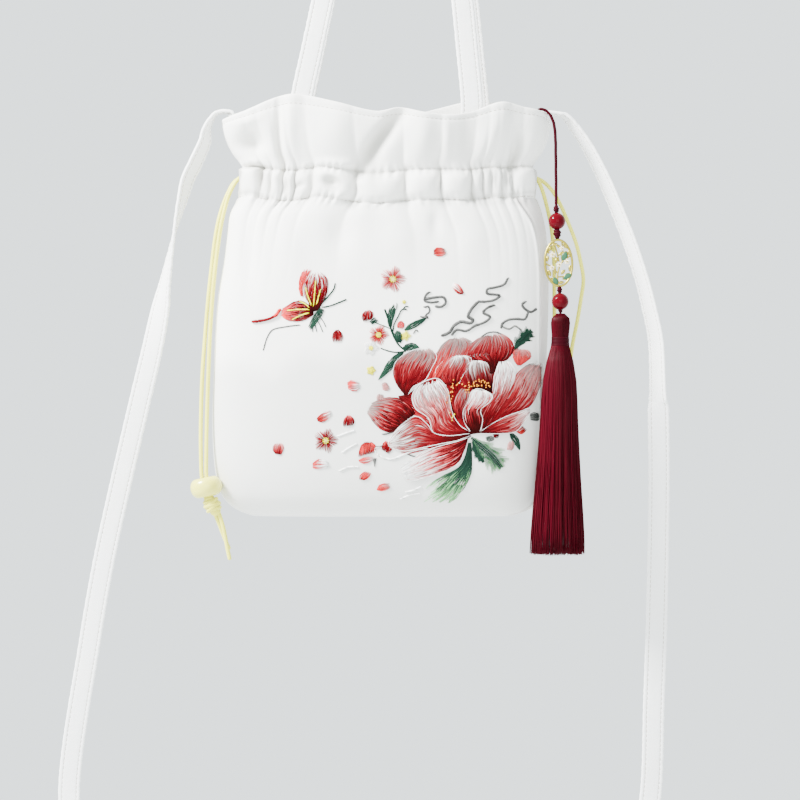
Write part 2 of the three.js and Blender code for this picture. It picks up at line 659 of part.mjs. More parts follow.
// The wrapped knot under a drawcord's bead, wide at the top and narrow where the tails leave
function cordKnotGeometry() {
  const bore = CORD_BEAD_BORE / 2;
  const radius = CORD_KNOT_DIAMETER / 2;
  const rows = [
    [bore, 0], [bore, -CORD_KNOT_HEIGHT], [bore + 1, -CORD_KNOT_HEIGHT],
    [radius * 0.85, -CORD_KNOT_HEIGHT * 0.7], [radius, -CORD_KNOT_HEIGHT * 0.4],
    [radius * 0.92, -CORD_KNOT_HEIGHT * 0.15], [radius * 0.7, 0], [bore, 0],
  ];
  return turnedGeometry(rows, CORD_KNOT_SIDES);
}

// A length of thread with a round knot near each end, along Z from the top down
function threadGeometry(length, knots) {
  const thin = THREAD_DIAMETER / 2;
  const rows = [[0, 0], [thin, 0]];
  for (const knot of knots) {
    rows.push([thin, -knot.at + knot.radius * 0.9]);
    rows.push([knot.radius, -knot.at + knot.radius * KNOT_SHOULDER]);
    rows.push([knot.radius, -knot.at - knot.radius * KNOT_SHOULDER]);
    rows.push([thin, -knot.at - knot.radius * 0.9]);
  }
  rows.push([thin, -length], [0, -length]);
  return turnedGeometry(rows.reverse(), THREAD_SIDES);
}

// A manifold solid from a closed geometry
function solidOf(geometry) {
  const bare = geometry.clone();
  bare.deleteAttribute('normal');
  bare.deleteAttribute('uv');
  const merged = mergeVertices(bare, WELD / 10);
  return new wasm.Manifold(new wasm.Mesh({
    numProp: 3,
    vertProperties: new Float32Array(merged.attributes.position.array),
    triVerts: new Uint32Array(merged.index.array),
  }));
}

// A geometry from a manifold solid
function geometryOf(solid) {
  const mesh = solid.getMesh();
  const geometry = new THREE.BufferGeometry();
  geometry.setAttribute('position', new THREE.BufferAttribute(mesh.vertProperties, 3));
  geometry.setIndex(new THREE.BufferAttribute(mesh.triVerts, 1));
  return geometry;
}

// Openwork of the charm: branches from the foot of the oval, with blossoms and leaves.
// Places are shares of half the charm's width and height.
const CHARM_BRANCHES = [
  [[-0.15, -0.98], [-0.1, -0.5], [0.05, -0.1], [-0.05, 0.35], [-0.3, 0.92]],
  [[-0.08, -0.45], [-0.45, -0.2], [-0.95, 0.0]],
  [[0.05, -0.1], [0.4, 0.1], [0.9, 0.3]],
  [[0.0, 0.15], [-0.4, 0.35], [-0.85, 0.5]],
  [[-0.1, -0.6], [0.35, -0.6], [0.75, -0.62]],
  [[0.4, 0.1], [0.35, 0.5], [0.3, 0.92]],
];
const CHARM_BLOSSOMS = [
  { side: -0.42, rise: 0.36, size: 0.2 },
  { side: 0.05, rise: -0.08, size: 0.18 },
  { side: 0.62, rise: 0.04, size: 0.19 },
  { side: -0.5, rise: -0.2, size: 0.17 },
  { side: 0.28, rise: 0.62, size: 0.16 },
];
const CHARM_LEAVES = [
  { side: 0.45, rise: 0.27, length: 0.42, turn: 70 },
  { side: 0.6, rise: -0.6, length: 0.4, turn: 30 },
  { side: -0.28, rise: -0.78, length: 0.36, turn: -60 },
];

function charmGeometry() {
  const halfWidth = (CHARM_WIDTH - CHARM_WIRE) / 2;
  const halfHeight = (CHARM_HEIGHT - CHARM_WIRE) / 2;
  const place = ([side, rise]) => new THREE.Vector3(side * halfWidth, 0, rise * halfHeight);
  const section = (radius, sides) => {
    const corners = [];
    for (let side = 0; side < sides; side += 1) {
      const angle = 2 * Math.PI * side / sides;
      corners.push(new THREE.Vector2(radius * Math.cos(angle), radius * Math.sin(angle)));
    }
    return new THREE.Shape(corners);
  };
  const oval = new THREE.TorusGeometry(halfWidth, CHARM_WIRE / 2, OVAL_WIRE_SIDES, OVAL_STEPS);
  const corners = oval.attributes.position;
  for (let corner = 0; corner < corners.count; corner += 1) {
    const angle = Math.atan2(corners.getY(corner), corners.getX(corner));
    corners.setY(corner, corners.getY(corner) + (halfHeight - halfWidth) * Math.sin(angle));
  }
  let solid = solidOf(oval.rotateX(Math.PI / 2));
  for (const branch of CHARM_BRANCHES) {
    const path = new THREE.CatmullRomCurve3(branch.map(place));
    const wire = { steps: branch.length + 1, extrudePath: path };
    solid = solid.add(solidOf(new THREE.ExtrudeGeometry(section(BRANCH_RADIUS, BRANCH_SIDES), wire)));
  }
  for (const blossom of CHARM_BLOSSOMS) {
    const disc = new THREE.CylinderGeometry(
      blossom.size * CHARM_WIDTH / 2, blossom.size * CHARM_WIDTH / 2, CHARM_WIRE, BLOSSOM_SIDES);
    const at = place([blossom.side, blossom.rise]);
    solid = solid.add(solidOf(disc.translate(at.x, 0, at.z)));
  }
  for (const leaf of CHARM_LEAVES) {
    const blade = new THREE.SphereGeometry(1, LEAF_SIDES, LEAF_STEPS);
    blade.scale(leaf.length * CHARM_WIDTH / 4, LEAF_RISE, leaf.length * CHARM_WIDTH / 8);
    blade.rotateY(-THREE.MathUtils.degToRad(leaf.turn));
    const at = place([leaf.side, leaf.rise]);
    solid = solid.add(solidOf(blade.translate(at.x, 0, at.z)));
  }
  return geometryOf(solid.simplify(WELD));
}

// Outline of the tassel from the top of its head down. at is a share of the head's height or of
// the skirt's, radius a share of that part's half-diameter, lock is how deep the grooves are.
const TASSEL_HEAD = [
  { at: 0.0, radius: 0.25, lock: 0 },
  { at: 0.06, radius: 0.72, lock: 0 },
  { at: 0.2, radius: 0.96, lock: 0 },
  { at: 0.38, radius: 1.0, lock: 0.02 },
  { at: 0.55, radius: 0.94, lock: 0.03 },
  { at: 0.82, radius: 0.88, lock: 0.03 },
];
const TASSEL_SKIRT = [
  { at: 0.0, radius: 0.31, lock: 0.04 },
  { at: 0.06, radius: 0.44, lock: 0.07 },
  { at: 0.17, radius: 0.59, lock: 0.09 },
  { at: 0.4, radius: 0.69, lock: 0.1 },
  { at: 0.62, radius: 0.8, lock: 0.1 },
  { at: 0.84, radius: 0.93, lock: 0.11 },
  { at: 1.0, radius: 1.0, lock: 0.12 },
];

function tasselGeometry() {
  const way = new THREE.Vector3(...TASSEL_LEAN, -1);
  const down = (height) => pendantFoot().addScaledVector(way, height);
  const columns = TASSEL_LOCKS * 2;
  const ring = (row, height, diameter, ends) => {
    const points = [];
    for (let column = 0; column < columns; column += 1) {
      const angle = 2 * Math.PI * column / columns;
      const groove = row.lock * (Math.cos(angle * TASSEL_LOCKS) - 1);
      const radius = row.radius * diameter / 2 * (1 + groove);
      const uneven = ends * Math.cos(angle * 5 + 1) * Math.cos(angle * 3);
      const point = down(height);
      point.x += radius * Math.cos(angle);
      point.y += radius * Math.sin(angle) * TASSEL_FLATNESS;
      point.z += uneven;
      points.push(point);
    }
    return points;
  };
  const rings = [];
  for (const row of TASSEL_HEAD) {
    rings.push(ring(row, row.at * TASSEL_HEAD_HEIGHT, TASSEL_HEAD_DIAMETER, 0));
  }
  for (const row of TASSEL_SKIRT) {
    const height = TASSEL_HEAD_HEIGHT + row.at * TASSEL_SKIRT_HEIGHT;
    rings.push(ring(row, height, TASSEL_SKIRT_DIAMETER, row.at === 1 ? TASSEL_END_RISE : 0));
  }
  return loftGeometry(rings);
}

// Materials
const cloth = new THREE.MeshStandardMaterial({ color: 0xf3f2ec, roughness: 0.85, metalness: 0 });
const band = new THREE.MeshStandardMaterial({ color: 0xf0f0ec, roughness: 0.8, metalness: 0 });
const cordYellow = new THREE.MeshStandardMaterial({ color: 0xe9e0a4, roughness: 0.6, metalness: 0 });
const creamBead = new THREE.MeshStandardMaterial({ color: 0xefe6b6, roughness: 0.35, metalness: 0 });
const silk = new THREE.MeshStandardMaterial({ color: 0x6d0617, roughness: 0.45, metalness: 0 });
const redGlass = new THREE.MeshStandardMaterial({ color: 0xb3061a, roughness: 0.1, metalness: 0 });
const gold = new THREE.MeshStandardMaterial({ color: 0xe0cf7a, roughness: 0.3, metalness: 1 });

const purse = new THREE.Group();

function addPiece(name, geometry, material, holder = purse) {
  const piece = new THREE.Mesh(geometry, material);
  piece.name = name;
  holder.add(piece);
  return piece;
}

function addPouch() {
  addPiece('pouch', pouchGeometry(), cloth);
}

function addBands() {
  addPiece('handle_front', handleGeometry(false), band);
  addPiece('handle_back', handleGeometry(true), band);
  addPiece('shoulder_strap', strapGeometry(), band);
}

function addDrawcords() {
  const strands = [
    ['drawcord_left_front', LEFT_FRONT_ROUTE, -1],
    ['drawcord_left_back', LEFT_BACK_ROUTE, -1],
    ['drawcord_right_front', RIGHT_FRONT_ROUTE, 1],
    ['drawcord_right_back', RIGHT_BACK_ROUTE, 1],
  ];
  for (const [name, route, way] of strands) {
    addPiece(name, cordGeometry(route, way, DRAWCORD_DIAMETER), cordYellow);
  }
  const [width, height, bore] = [CORD_BEAD_DIAMETER, CORD_BEAD_HEIGHT, CORD_BEAD_BORE];
  for (const end of CORD_ENDS) {
    const beadShape = beadGeometry(width, height, bore, CORD_BEAD_SIDES);
    const bead = addPiece(`cord_bead_${end.side}`, beadShape, creamBead);
    bead.position.copy(besideCasing(end.bead, end.way));
    bead.rotation.y = THREE.MathUtils.degToRad(-end.tilt);
    const knot = addPiece(`cord_knot_${end.side}`, cordKnotGeometry(), cordYellow);
    knot.position.copy(besideCasing(end.knot, end.way));
    knot.rotation.y = THREE.MathUtils.degToRad(-end.lean);
  }
}

function addPendant() {
  const top = besideCasing(PENDANT_TOP, 1);
  const foot = pendantFoot();
  const length = top.distanceTo(foot);
  const way = foot.clone().sub(top).normalize();
  const line = new THREE.Group();
  line.position.copy(top);
  line.quaternion.setFromUnitVectors(new THREE.Vector3(0, 0, -1), way);
  purse.add(line);
  addPiece('tassel_cord', cordGeometry(TASSEL_CORD_ROUTE, 1, TASSEL_CORD_DIAMETER), silk);
  const beadReach = BEAD_DIAMETER / 2;
  const charmTop = CHARM_DROP - CHARM_HEIGHT / 2;
  const charmFoot = CHARM_DROP + CHARM_HEIGHT / 2;
  const upper = threadGeometry(charmTop - SEAT_GAP, [
    { at: TOP_KNOT_DROP, radius: TOP_KNOT_RADIUS },
    { at: UPPER_BEAD_DROP + beadReach + MIDDLE_KNOT_RADIUS, radius: MIDDLE_KNOT_RADIUS },
  ]);
  const lowerStart = charmFoot + SEAT_GAP;
  const lower = threadGeometry(length - SEAT_GAP - lowerStart, [
    { at: LOWER_BEAD_DROP - beadReach - LOW_KNOT_RADIUS - lowerStart, radius: LOW_KNOT_RADIUS },
  ]);
  const bead = () => beadGeometry(BEAD_DIAMETER, BEAD_DIAMETER, BEAD_BORE, GLASS_BEAD_SIDES);
  addPiece('tassel_thread_upper', upper, silk, line);
  addPiece('tassel_bead_upper', bead(), redGlass, line).position.z = -UPPER_BEAD_DROP;
  addPiece('charm', charmGeometry(), gold, line).position.z = -CHARM_DROP;
  addPiece('tassel_thread_lower', lower, silk, line).position.z = -lowerStart;
  addPiece('tassel_bead_lower', bead(), redGlass, line).position.z = -LOWER_BEAD_DROP;
  addPiece('tassel', tasselGeometry(), silk);
}

addPouch();
addBands();
addDrawcords();
addPendant();

export default purse;
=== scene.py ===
"""The looks of a small white drawstring purse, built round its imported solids.

Lengths in the tables and functions are millimetres, and meshes are made in metres.
"""

import math

import bmesh
import bpy
import numpy as np
from bpy.props import FloatProperty, FloatVectorProperty, IntProperty, PointerProperty
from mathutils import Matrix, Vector


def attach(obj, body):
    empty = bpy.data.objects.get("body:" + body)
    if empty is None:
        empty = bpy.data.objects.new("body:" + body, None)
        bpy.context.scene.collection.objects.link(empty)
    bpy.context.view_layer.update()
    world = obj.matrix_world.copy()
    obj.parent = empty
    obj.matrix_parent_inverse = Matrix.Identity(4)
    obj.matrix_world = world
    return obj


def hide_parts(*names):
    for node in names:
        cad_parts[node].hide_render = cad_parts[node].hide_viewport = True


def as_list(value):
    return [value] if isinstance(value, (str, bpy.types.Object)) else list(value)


bl_info = {
    "name": "Embroidered drawstring purse",
    "version": (1, 0, 0),
    "blender": (4, 5, 0),
    "location": "View3D > Sidebar > Purse",
    "description": "Builds an embroidered drawstring purse with its cords and tassel",
    "category": "Object",
}

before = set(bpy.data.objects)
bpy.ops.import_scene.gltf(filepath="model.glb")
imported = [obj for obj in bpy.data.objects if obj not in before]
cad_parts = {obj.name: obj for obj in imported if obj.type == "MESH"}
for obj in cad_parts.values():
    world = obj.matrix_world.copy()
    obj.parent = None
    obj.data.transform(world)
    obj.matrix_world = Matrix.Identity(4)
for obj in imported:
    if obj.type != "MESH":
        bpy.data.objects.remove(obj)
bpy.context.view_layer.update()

# Metres in a millimetre, the body that the pieces ride on, and how close points are welded
MM = 0.001
BODY = "root"
WELD = 2e-6

# Sizes that the solids fix
BODY_WIDTH, BODY_DEPTH, BODY_HEIGHT = 200.0, 66.0, 188.0
CASING_WIDTH, CASING_DEPTH, CASING_HEIGHT = 177.0, 42.0, 18.0
RIM_WIDTH, RIM_DEPTH, FRILL_HEIGHT = 197.0, 54.0, 36.0
CLOTH_WALL, GATHER_BULGE, FOLD_DEPTH, NECK_RISE = 1.6, 5.0, 6.0, 5.5
RIM_Z = -152.5
CASING_TOP_Z = RIM_Z - FRILL_HEIGHT
CASING_BOTTOM_Z = CASING_TOP_Z - CASING_HEIGHT
CASING_MIDDLE_Z = (CASING_TOP_Z + CASING_BOTTOM_Z) / 2
BASE_Z = CASING_BOTTOM_Z - BODY_HEIGHT
RIM_SEAM_Z = RIM_Z - 3.2
BAND_WIDTH, BAND_THICKNESS = 13.0, 2.0

# Share of the outer face's folds that the inner face follows
INNER_FOLLOW = 0.8

# Sections from the foot of each zone: height, width, depth, centre, corner, gather
BODY_SECTIONS = (
    (0.0, 0.78, 0.62, -0.03, 2.6, 0.0), (0.012, 0.85, 0.72, -0.03, 2.7, 0.0),
    (0.035, 0.92, 0.82, -0.03, 2.8, 0.0), (0.07, 0.965, 0.91, -0.034, 2.9, 0.0),
    (0.14, 0.993, 0.98, -0.037, 3.0, 0.0), (0.25, 1.0, 1.0, -0.039, 3.0, 0.0),
    (0.48, 0.998, 0.975, -0.037, 3.0, 0.0), (0.69, 0.987, 0.91, -0.029, 2.9, 0.04),
    (0.8, 0.974, 0.85, -0.021, 2.8, 0.12), (0.89, 0.957, 0.78, -0.019, 2.7, 0.25),
    (0.95, 0.935, 0.72, -0.021, 2.5, 0.38),
)
CASING_SECTIONS = (
    (0.0, 1.01, 1.0, -0.02, 2.3, 0.5), (0.28, 1.0, 1.0, -0.018, 2.2, 0.95),
    (0.68, 1.0, 1.0, -0.017, 2.2, 1.0), (1.0, 0.99, 0.98, -0.017, 2.2, 0.5),
)
FRILL_SECTIONS = (
    (0.1, 0.9, 0.8, -0.017, 2.1, 0.42), (0.27, 0.938, 0.86, -0.018, 2.1, 0.36),
    (0.48, 0.968, 0.93, -0.019, 2.1, 0.27), (0.72, 0.988, 0.98, -0.02, 2.1, 0.18),
    (1.0, 1.0, 1.0, -0.021, 2.1, 0.12),
)

# Rolls of the gathered casing: where each begins and how full it is
ROLLS = (
    (-1.0, 0.75), (-0.844, 0.4), (-0.769, 0.7), (-0.687, 0.6), (-0.599, 0.5), (-0.476, 1.0),
    (-0.184, 0.9), (0.095, 1.0), (0.32, 1.0), (0.531, 0.5), (0.612, 0.4), (0.673, 0.6),
    (0.748, 0.5), (0.823, 0.75), (1.0, 0.0),
)

# Powers in a roll's outline: how steep its sides are and how round its top is
ROLL_SIDES, ROLL_TOP = 2.4, 0.6

# How far rolls stand out and creases sink in, as shares of the bulge, then the share of the
# gathers that stays far below the casing, and how soon the rest fades
ROLL_OUT, CREASE_IN = 1.25, 0.15
GATHER_LEFT, GATHER_FADE = 0.4, 12.0

# Fine relief of the cloth, as height and reach: puckers and the groove along the casing's stitches,
# ripples under the casing, the groove of the rim's stitches and a slow unevenness
PUCKER_HEIGHT, PUCKER_REACH = 0.5, 2.8
STITCH_GROOVE, STITCH_REACH = 0.9, 0.9
RIPPLE_HEIGHT, RIPPLE_REACH = 0.4, 9.0
RIM_GROOVE, RIM_REACH = 0.45, 0.7
SLOW_HEIGHT = 0.5

# The side seam's ridge and groove: height, place past the seam and width as shares of the half-width
SEAM_RIDGE = (0.7, -0.012, 0.012)
SEAM_GROOVE = (-1.3, 0.004, 0.007)

# How far round each side the front blends into the back, as a sine of the angle
SIDE_BLEND = 0.08

# Folds of the frill: foot, rim, width, push, low, high
FRILL_FOLDS = (
    (-0.687, -0.634, 0.022, -0.6, -0.3, 1.1), (-0.62, -0.55, 0.05, 0.35, -0.1, 1.3),
    (-0.85, -0.85, 0.13, 0.45, 0.0, 1.3), (-0.88, -0.8, 0.08, -0.7, 0.1, 0.8),
    (-0.16, 0.085, 0.055, -0.9, -0.2, 1.1), (-0.35, -0.25, 0.12, 0.4, 0.0, 1.3),
    (0.2, 0.22, 0.08, 0.5, 0.0, 1.3), (0.36, 0.34, 0.04, 0.3, -0.1, 1.1),
    (0.5, 0.47, 0.06, -0.3, 0.0, 1.2), (0.62, 0.68, 0.07, 0.4, 0.1, 1.3),
    (0.84, 0.8, 0.035, -0.6, -0.2, 0.7), (0.93, 0.9, 0.09, 0.35, 0.0, 1.3),
)

# Height of the rim along the half-width: across, rise
RIM_LINE = (
    (-1.0, -0.17), (-0.85, -0.05), (-0.64, 0.17), (-0.52, 0.21), (-0.29, 0.09), (-0.05, -0.06),
    (0.07, 0.0), (0.22, -0.08), (0.39, -0.11), (0.51, -0.06), (0.68, 0.09), (0.82, 0.02),
    (0.96, -0.07), (1.0, -0.2),
)

# Line of the side seam on the front: level, across
SIDE_SEAM = (
    (-394.0, 0.93), (-334.0, 0.937), (-244.0, 0.913), (-221.0, 0.893), (-214.0, 0.865),
    (-206.0, 0.835), (-201.0, 0.81), (-190.0, 0.8),
)

# Sag of the casing along the half-width: across, rise
CASING_SAG = (
    (-1.0, 0.0), (-0.9, 1.2), (-0.78, -0.8), (-0.6, -1.4), (-0.42, 2.2), (-0.28, 0.4), (-0.05, -2.6),
    (0.08, -0.4), (0.3, 0.5), (0.5, -0.7), (0.66, 0.9), (0.8, 0.2), (0.9, 1.0), (1.0, 0.0),
)
SAG_REACH = 15.0

# Reach of the painted shade in the casing's creases over and under its middle, and how much
# painted shade each kind of crease takes: between two rolls, along the stitches, in a fold of the frill
# and in a dent
PAINTED_SHADE_REACH = 13.0
ROLL_PAINTED_SHADE, STITCH_PAINTED_SHADE, FRILL_PAINTED_SHADE, DENT_PAINTED_SHADE = 1.2, 0.45, 1.1, 0.5

# Dents and swells of the front, on the drawing grid: right, down, reach, drop, push
DENTS = (
    (333, 188, 8, 6, -2.6), (341, 200, 5, 4, 1.1), (337, 168, 20, 5, 1.0),
    (253, 147, 15, 10, -1.6), (257, 173, 11, 2.6, -1.8), (262, 182, 3, 10, -1.5),
    (287, 190, 3, 9, -1.3), (300, 189, 5, 3, -0.9), (240, 176, 6, 5, 0.8),
    (376, 170, 8, 14, -0.8), (400, 202, 6, 4, -0.7), (470, 200, 5, 5, -0.9),
    (506, 182, 3, 13, -1.6), (512, 156, 3, 12, -1.0), (495, 186, 3, 10, -0.9),
    (340, 238, 14, 20, -1.2), (290, 250, 15, 30, 0.7), (470, 245, 16, 22, 0.6),
    (400, 240, 18, 20, 0.7), (435, 226, 6, 14, -0.7), (250, 260, 8, 40, -0.7),
)
DENT_DEPTH = 1.9

# Levels between which the front turns grey, partly a sheer organza cast and partly painted shade,
# and columns of the pouch's grid with the front's share
GREY_FROM_Z, GREY_FULL_Z = -292, -312
POUCH_COLUMNS, FRONT_COLUMNS = 390, 0.62

# Routes of the bands: right, back, up, turn
HANDLE_FRONT = (
    (-54.2, -16.88, -174.5, 0), (-54.2, -18.36, -169, 0), (-54.2, -19.24, -163.5, 0),
    (-54.2, -19.79, -158, 0), (-54.2, -20.13, -152.5, 0), (-54.2, -20.13, -146.36, 0),
    (-47.89, -17.48, -115.66, 0), (-41.83, -14.57, -86.49, 0), (-37.54, -12.19, -65.01, 20),
    (-32.74, -9.81, -45.05, 55), (-25.41, -7.83, -22.02, 84), (-13.8, -6.9, -4.37, 90),
    (-0.01, -6.9, 1, 90), (13.47, -6.9, -4.37, 90), (26.6, -7.75, -22.02, 96),
    (34.68, -9.57, -45.05, 125), (38.72, -11.76, -65.01, 160), (41.25, -13.94, -86.49, 180),
    (44.02, -16.61, -115.66, 180), (46.8, -19.04, -146.36, 180), (46.8, -19.04, -152.5, 180),
    (46.8, -18.6, -158, 180), (46.8, -18.02, -163.5, 180), (46.8, -17.29, -169, 180),
    (46.8, -16.41, -174.5, 180),
)
HANDLE_BACK = (
    (-54.2, 16.39, -174.5, 0), (-54.2, 17.29, -169, 0), (-54.2, 18.02, -163.5, 0),
    (-54.2, 18.6, -158, 0), (-54.2, 19.04, -152.5, 0), (-54.2, 19.04, -146.36, 0),
    (-47.89, 16.61, -115.66, 0), (-41.83, 13.94, -86.49, 0), (-37.54, 11.76, -65.01, 20),
    (-32.74, 9.57, -45.05, 55), (-25.41, 7.75, -22.02, 84), (-13.8, 6.9, -4.37, 90),
    (0.35, 6.9, 1, 90), (15.17, 6.9, -4.37, 90), (29.6, 7.58, -22.02, 96),
    (38.48, 9.04, -45.05, 125), (42.92, 10.8, -65.01, 160), (45.7, 12.55, -86.49, 180),
    (48.75, 14.69, -115.66, 180), (51.8, 16.64, -146.36, 180), (51.8, 16.64, -152.5, 180),
    (51.8, 16.29, -158, 180), (51.8, 16.29, -163.5, 180), (51.8, 15.91, -169, 180),
    (51.8, 14.25, -174.5, 180),
)
STRAP = (
    (-90.26, 0, -174.28, -90), (-91.87, 0, -169.78, -90), (-93.19, 0, -165.28, -90),
    (-94.2, 0, -160.78, -90), (-94.82, 0, -156.28, -90), (-95.49, 0, -153.58, -90),
    (-98.73, 0, -152.23, -90), (-105.34, 0, -152.9, -90), (-111.53, 0, -162.08, -105),
    (-112.91, 0, -170.22, -118), (-118.13, 0, -182.43, -125), (-122.9, 0, -192.2, -122),
    (-126.57, 0, -205.63, -110), (-130.24, 0, -220.28, -92), (-136.75, 0, -254.87, -58),
    (-140.05, 0, -273.19, -28), (-144.54, 0, -295.17, -12), (-151.7, 0, -325.28, -3),
    (-165.54, 0, -385.11, 0), (-173.34, 0, -421.34, 0), (-181.77, 0, -469.36, 0),
    (-194.34, 0, -565.01, 0), (-185.81, 0, -602.09, -24.54), (-161.05, 0, -635.54, -65.02),
    (-122.49, 0, -662.09, -87.43), (-73.91, 0, -679.13, -90), (-20.05, 0, -685.01, -90),
    (33.81, 0, -679.13, -90), (82.4, 0, -662.09, -87.43), (120.96, 0, -635.54, -65.02),
    (145.71, 0, -602.09, -24.54), (154.24, 0, -565.01, 0), (156.66, 0, -505.18, 0),
    (158.49, 0, -445.35, 0), (159.66, 0, -373.31, 0), (159.4, 0, -333.02, -8),
    (159.08, 0, -322.44, -42), (157.83, 0, -289.06, -50), (154.24, 0, -271.15, -52),
    (149.48, 0, -252.43, -54), (141.97, 0, -229.64, -55), (133.28, 0, -207.66, -56),
    (125.45, 0, -189.75, -57), (116.43, 0, -172.66, -60), (108.66, 0, -161.26, -66),
    (102.85, 0, -154.75, -78), (97.06, 0, -153.34, -90), (90.67, 0, -152.66, -90),
    (87.65, 0, -154.01, -90), (86.97, 0, -156.71, -90), (86.49, 0, -161.21, -90),
    (85.63, 0, -165.71, -90), (84.47, 0, -170.21, -90), (83.04, 0, -174.71, -90),
)

# Cross-section of a band, half of it round: share of half the width, share of half the thickness
BAND_PROFILE = (
    (-1.0, 0.0), (-0.99, 0.5), (-0.955, 0.85), (-0.88, 1.0), (-0.76, 1.0), (-0.7, 0.93),
    (-0.66, 0.72), (-0.62, 0.93), (-0.55, 1.0), (-0.3, 1.04), (0.0, 1.06), (0.3, 1.04),
    (0.55, 1.0), (0.62, 0.93), (0.66, 0.72), (0.7, 0.93), (0.76, 1.0), (0.88, 1.0),
    (0.955, 0.85), (0.99, 0.5),
)

# Bands: node, route, rows along it
BANDS = (
    ("handle_front", HANDLE_FRONT, 300),
    ("handle_back", HANDLE_BACK, 300),
    ("shoulder_strap", STRAP, 900),
)

# Where the stitches run on a band, and how far their edges are drawn up and down
BAND_SEAM, SEAM_BED = 0.66, 0.84
PUCKER_SIDEWAYS, PUCKER_UP = 0.10, 0.13

# Routes of the cords, in metres
DRAWCORD_ROUTES = {
    "drawcord_left_front": (
        (-0.0922, -0.0016, -0.1924), (-0.0946, -0.0024, -0.1952), (-0.0982, -0.004, -0.2024),
        (-0.1009, -0.0054, -0.212), (-0.103, -0.0066, -0.222), (-0.1054, -0.008, -0.24),
        (-0.1076, -0.0093, -0.262), (-0.1091, -0.0104, -0.285), (-0.1101, -0.0118, -0.31),
        (-0.1108, -0.0134, -0.335), (-0.1111, -0.0154, -0.358), (-0.111, -0.0166, -0.3705),
        (-0.1098, -0.017, -0.377), (-0.1084, -0.0171, -0.383), (-0.106, -0.0173, -0.388),
        (-0.1036, -0.0174, -0.3924), (-0.1014, -0.0177, -0.399), (-0.0996, -0.0178, -0.407),
        (-0.0984, -0.0176, -0.4136), (-0.0972, -0.0177, -0.4194),
    ),
    "drawcord_left_back": (
        (-0.0922, 0.0015, -0.192), (-0.0954, 0.0016, -0.1946), (-0.0998, 0.0006, -0.2026),
        (-0.1034, -0.0009, -0.213), (-0.1062, -0.0024, -0.226), (-0.1086, -0.0042, -0.246),
        (-0.1108, -0.0064, -0.268), (-0.1124, -0.0084, -0.29), (-0.1138, -0.011, -0.312),
        (-0.1144, -0.0134, -0.336), (-0.1143, -0.0156, -0.358), (-0.1137, -0.0167, -0.3705),
        (-0.1125, -0.017, -0.377), (-0.1111, -0.0171, -0.383), (-0.1087, -0.0171, -0.388),
        (-0.1062, -0.0168, -0.3924), (-0.104, -0.0158, -0.3976), (-0.1016, -0.0152, -0.404),
        (-0.0994, -0.0146, -0.4095), (-0.0978, -0.0144, -0.4134),
    ),
    "drawcord_right_front": (
        (0.0862, -0.0016, -0.1924), (0.0882, -0.0014, -0.196), (0.0902, -0.001, -0.2016),
        (0.0923, -0.0004, -0.209), (0.0943, 0.0002, -0.218), (0.0958, 0.0008, -0.228),
        (0.0966, 0.0014, -0.242), (0.0969, 0.002, -0.262), (0.097, 0.0026, -0.285),
        (0.0973, 0.003, -0.31), (0.0979, 0.0032, -0.335), (0.0988, 0.0032, -0.358),
        (0.0997, 0.0031, -0.369), (0.1001, 0.003, -0.377), (0.1001, 0.003, -0.385),
        (0.0999, 0.003, -0.394), (0.0988, 0.0034, -0.4), (0.0972, 0.0039, -0.407),
        (0.096, 0.0042, -0.413),
    ),
    "drawcord_right_back": (
        (0.0862, 0.0016, -0.192), (0.0902, 0.0024, -0.194), (0.0956, 0.0034, -0.1994),
        (0.1006, 0.0044, -0.2076), (0.1058, 0.0054, -0.2196), (0.1104, 0.006, -0.2316),
        (0.1132, 0.0062, -0.2436), (0.1146, 0.0062, -0.2532), (0.1128, 0.0058, -0.266),
        (0.1106, 0.0052, -0.279), (0.1076, 0.0046, -0.294), (0.105, 0.004, -0.318),
        (0.1036, 0.0035, -0.344), (0.103, 0.0032, -0.364), (0.1028, 0.003, -0.377),
        (0.1028, 0.003, -0.385), (0.103, 0.003, -0.394), (0.1042, 0.0035, -0.4),
        (0.1056, 0.004, -0.4055), (0.1066, 0.0042, -0.411),
    ),
}
TASSEL_CORD_ROUTE = (
    (0.0834, -0.0092, -0.166), (0.0838, -0.0092, -0.159), (0.085, -0.0092, -0.1542),
    (0.0882, -0.0094, -0.1516), (0.0918, -0.0098, -0.1528), (0.0946, -0.0102, -0.1564),
    (0.0962, -0.0105, -0.1612), (0.0969, -0.0108, -0.1676), (0.0971, -0.0112, -0.176),
    (0.0972, -0.0118, -0.188), (0.0973, -0.0125, -0.2), (0.0973, -0.0131, -0.2082),
)

# Beads and knots on the drawcords: place and lean in degrees
CORD_ENDS = (
    ("left", (-111.1, -17.0, -377.0), -12.0, (-109.5, -17.2, -383.9), 28.0),
    ("right", (101.45, 3.0, -377.0), 0.0, (101.45, 3.0, -383.6), 0.0),
)
CORD_BEAD_BORE, CORD_BEAD_RADIUS, CORD_BEAD_HALF = 3.3, 9.5, 5.75
KNOT_RADIUS, KNOT_HEIGHT, KNOT_WIRE, KNOT_WRAPS = 5.4, 8.6, 1.25, 5

# The pendant's line, and its pieces down that line
PENDANT_TOP = (97.29, -13.1, -208.5)
PENDANT_LEAN = (0.0354, -0.114, -1.0)
PENDANT_HEIGHT = 64.9
TASSEL_LEAN = (-0.0154, -0.0419, -1.0)
UPPER_BEAD_DROP, CHARM_DROP, LOWER_BEAD_DROP = 10.2, 35.2, 58.2
GLASS_BEAD, GLASS_BORE = 10.2, 2.3
CHARM_WIDTH, CHARM_HEIGHT, CHARM_WIRE = 17.7, 29.3, 1.5

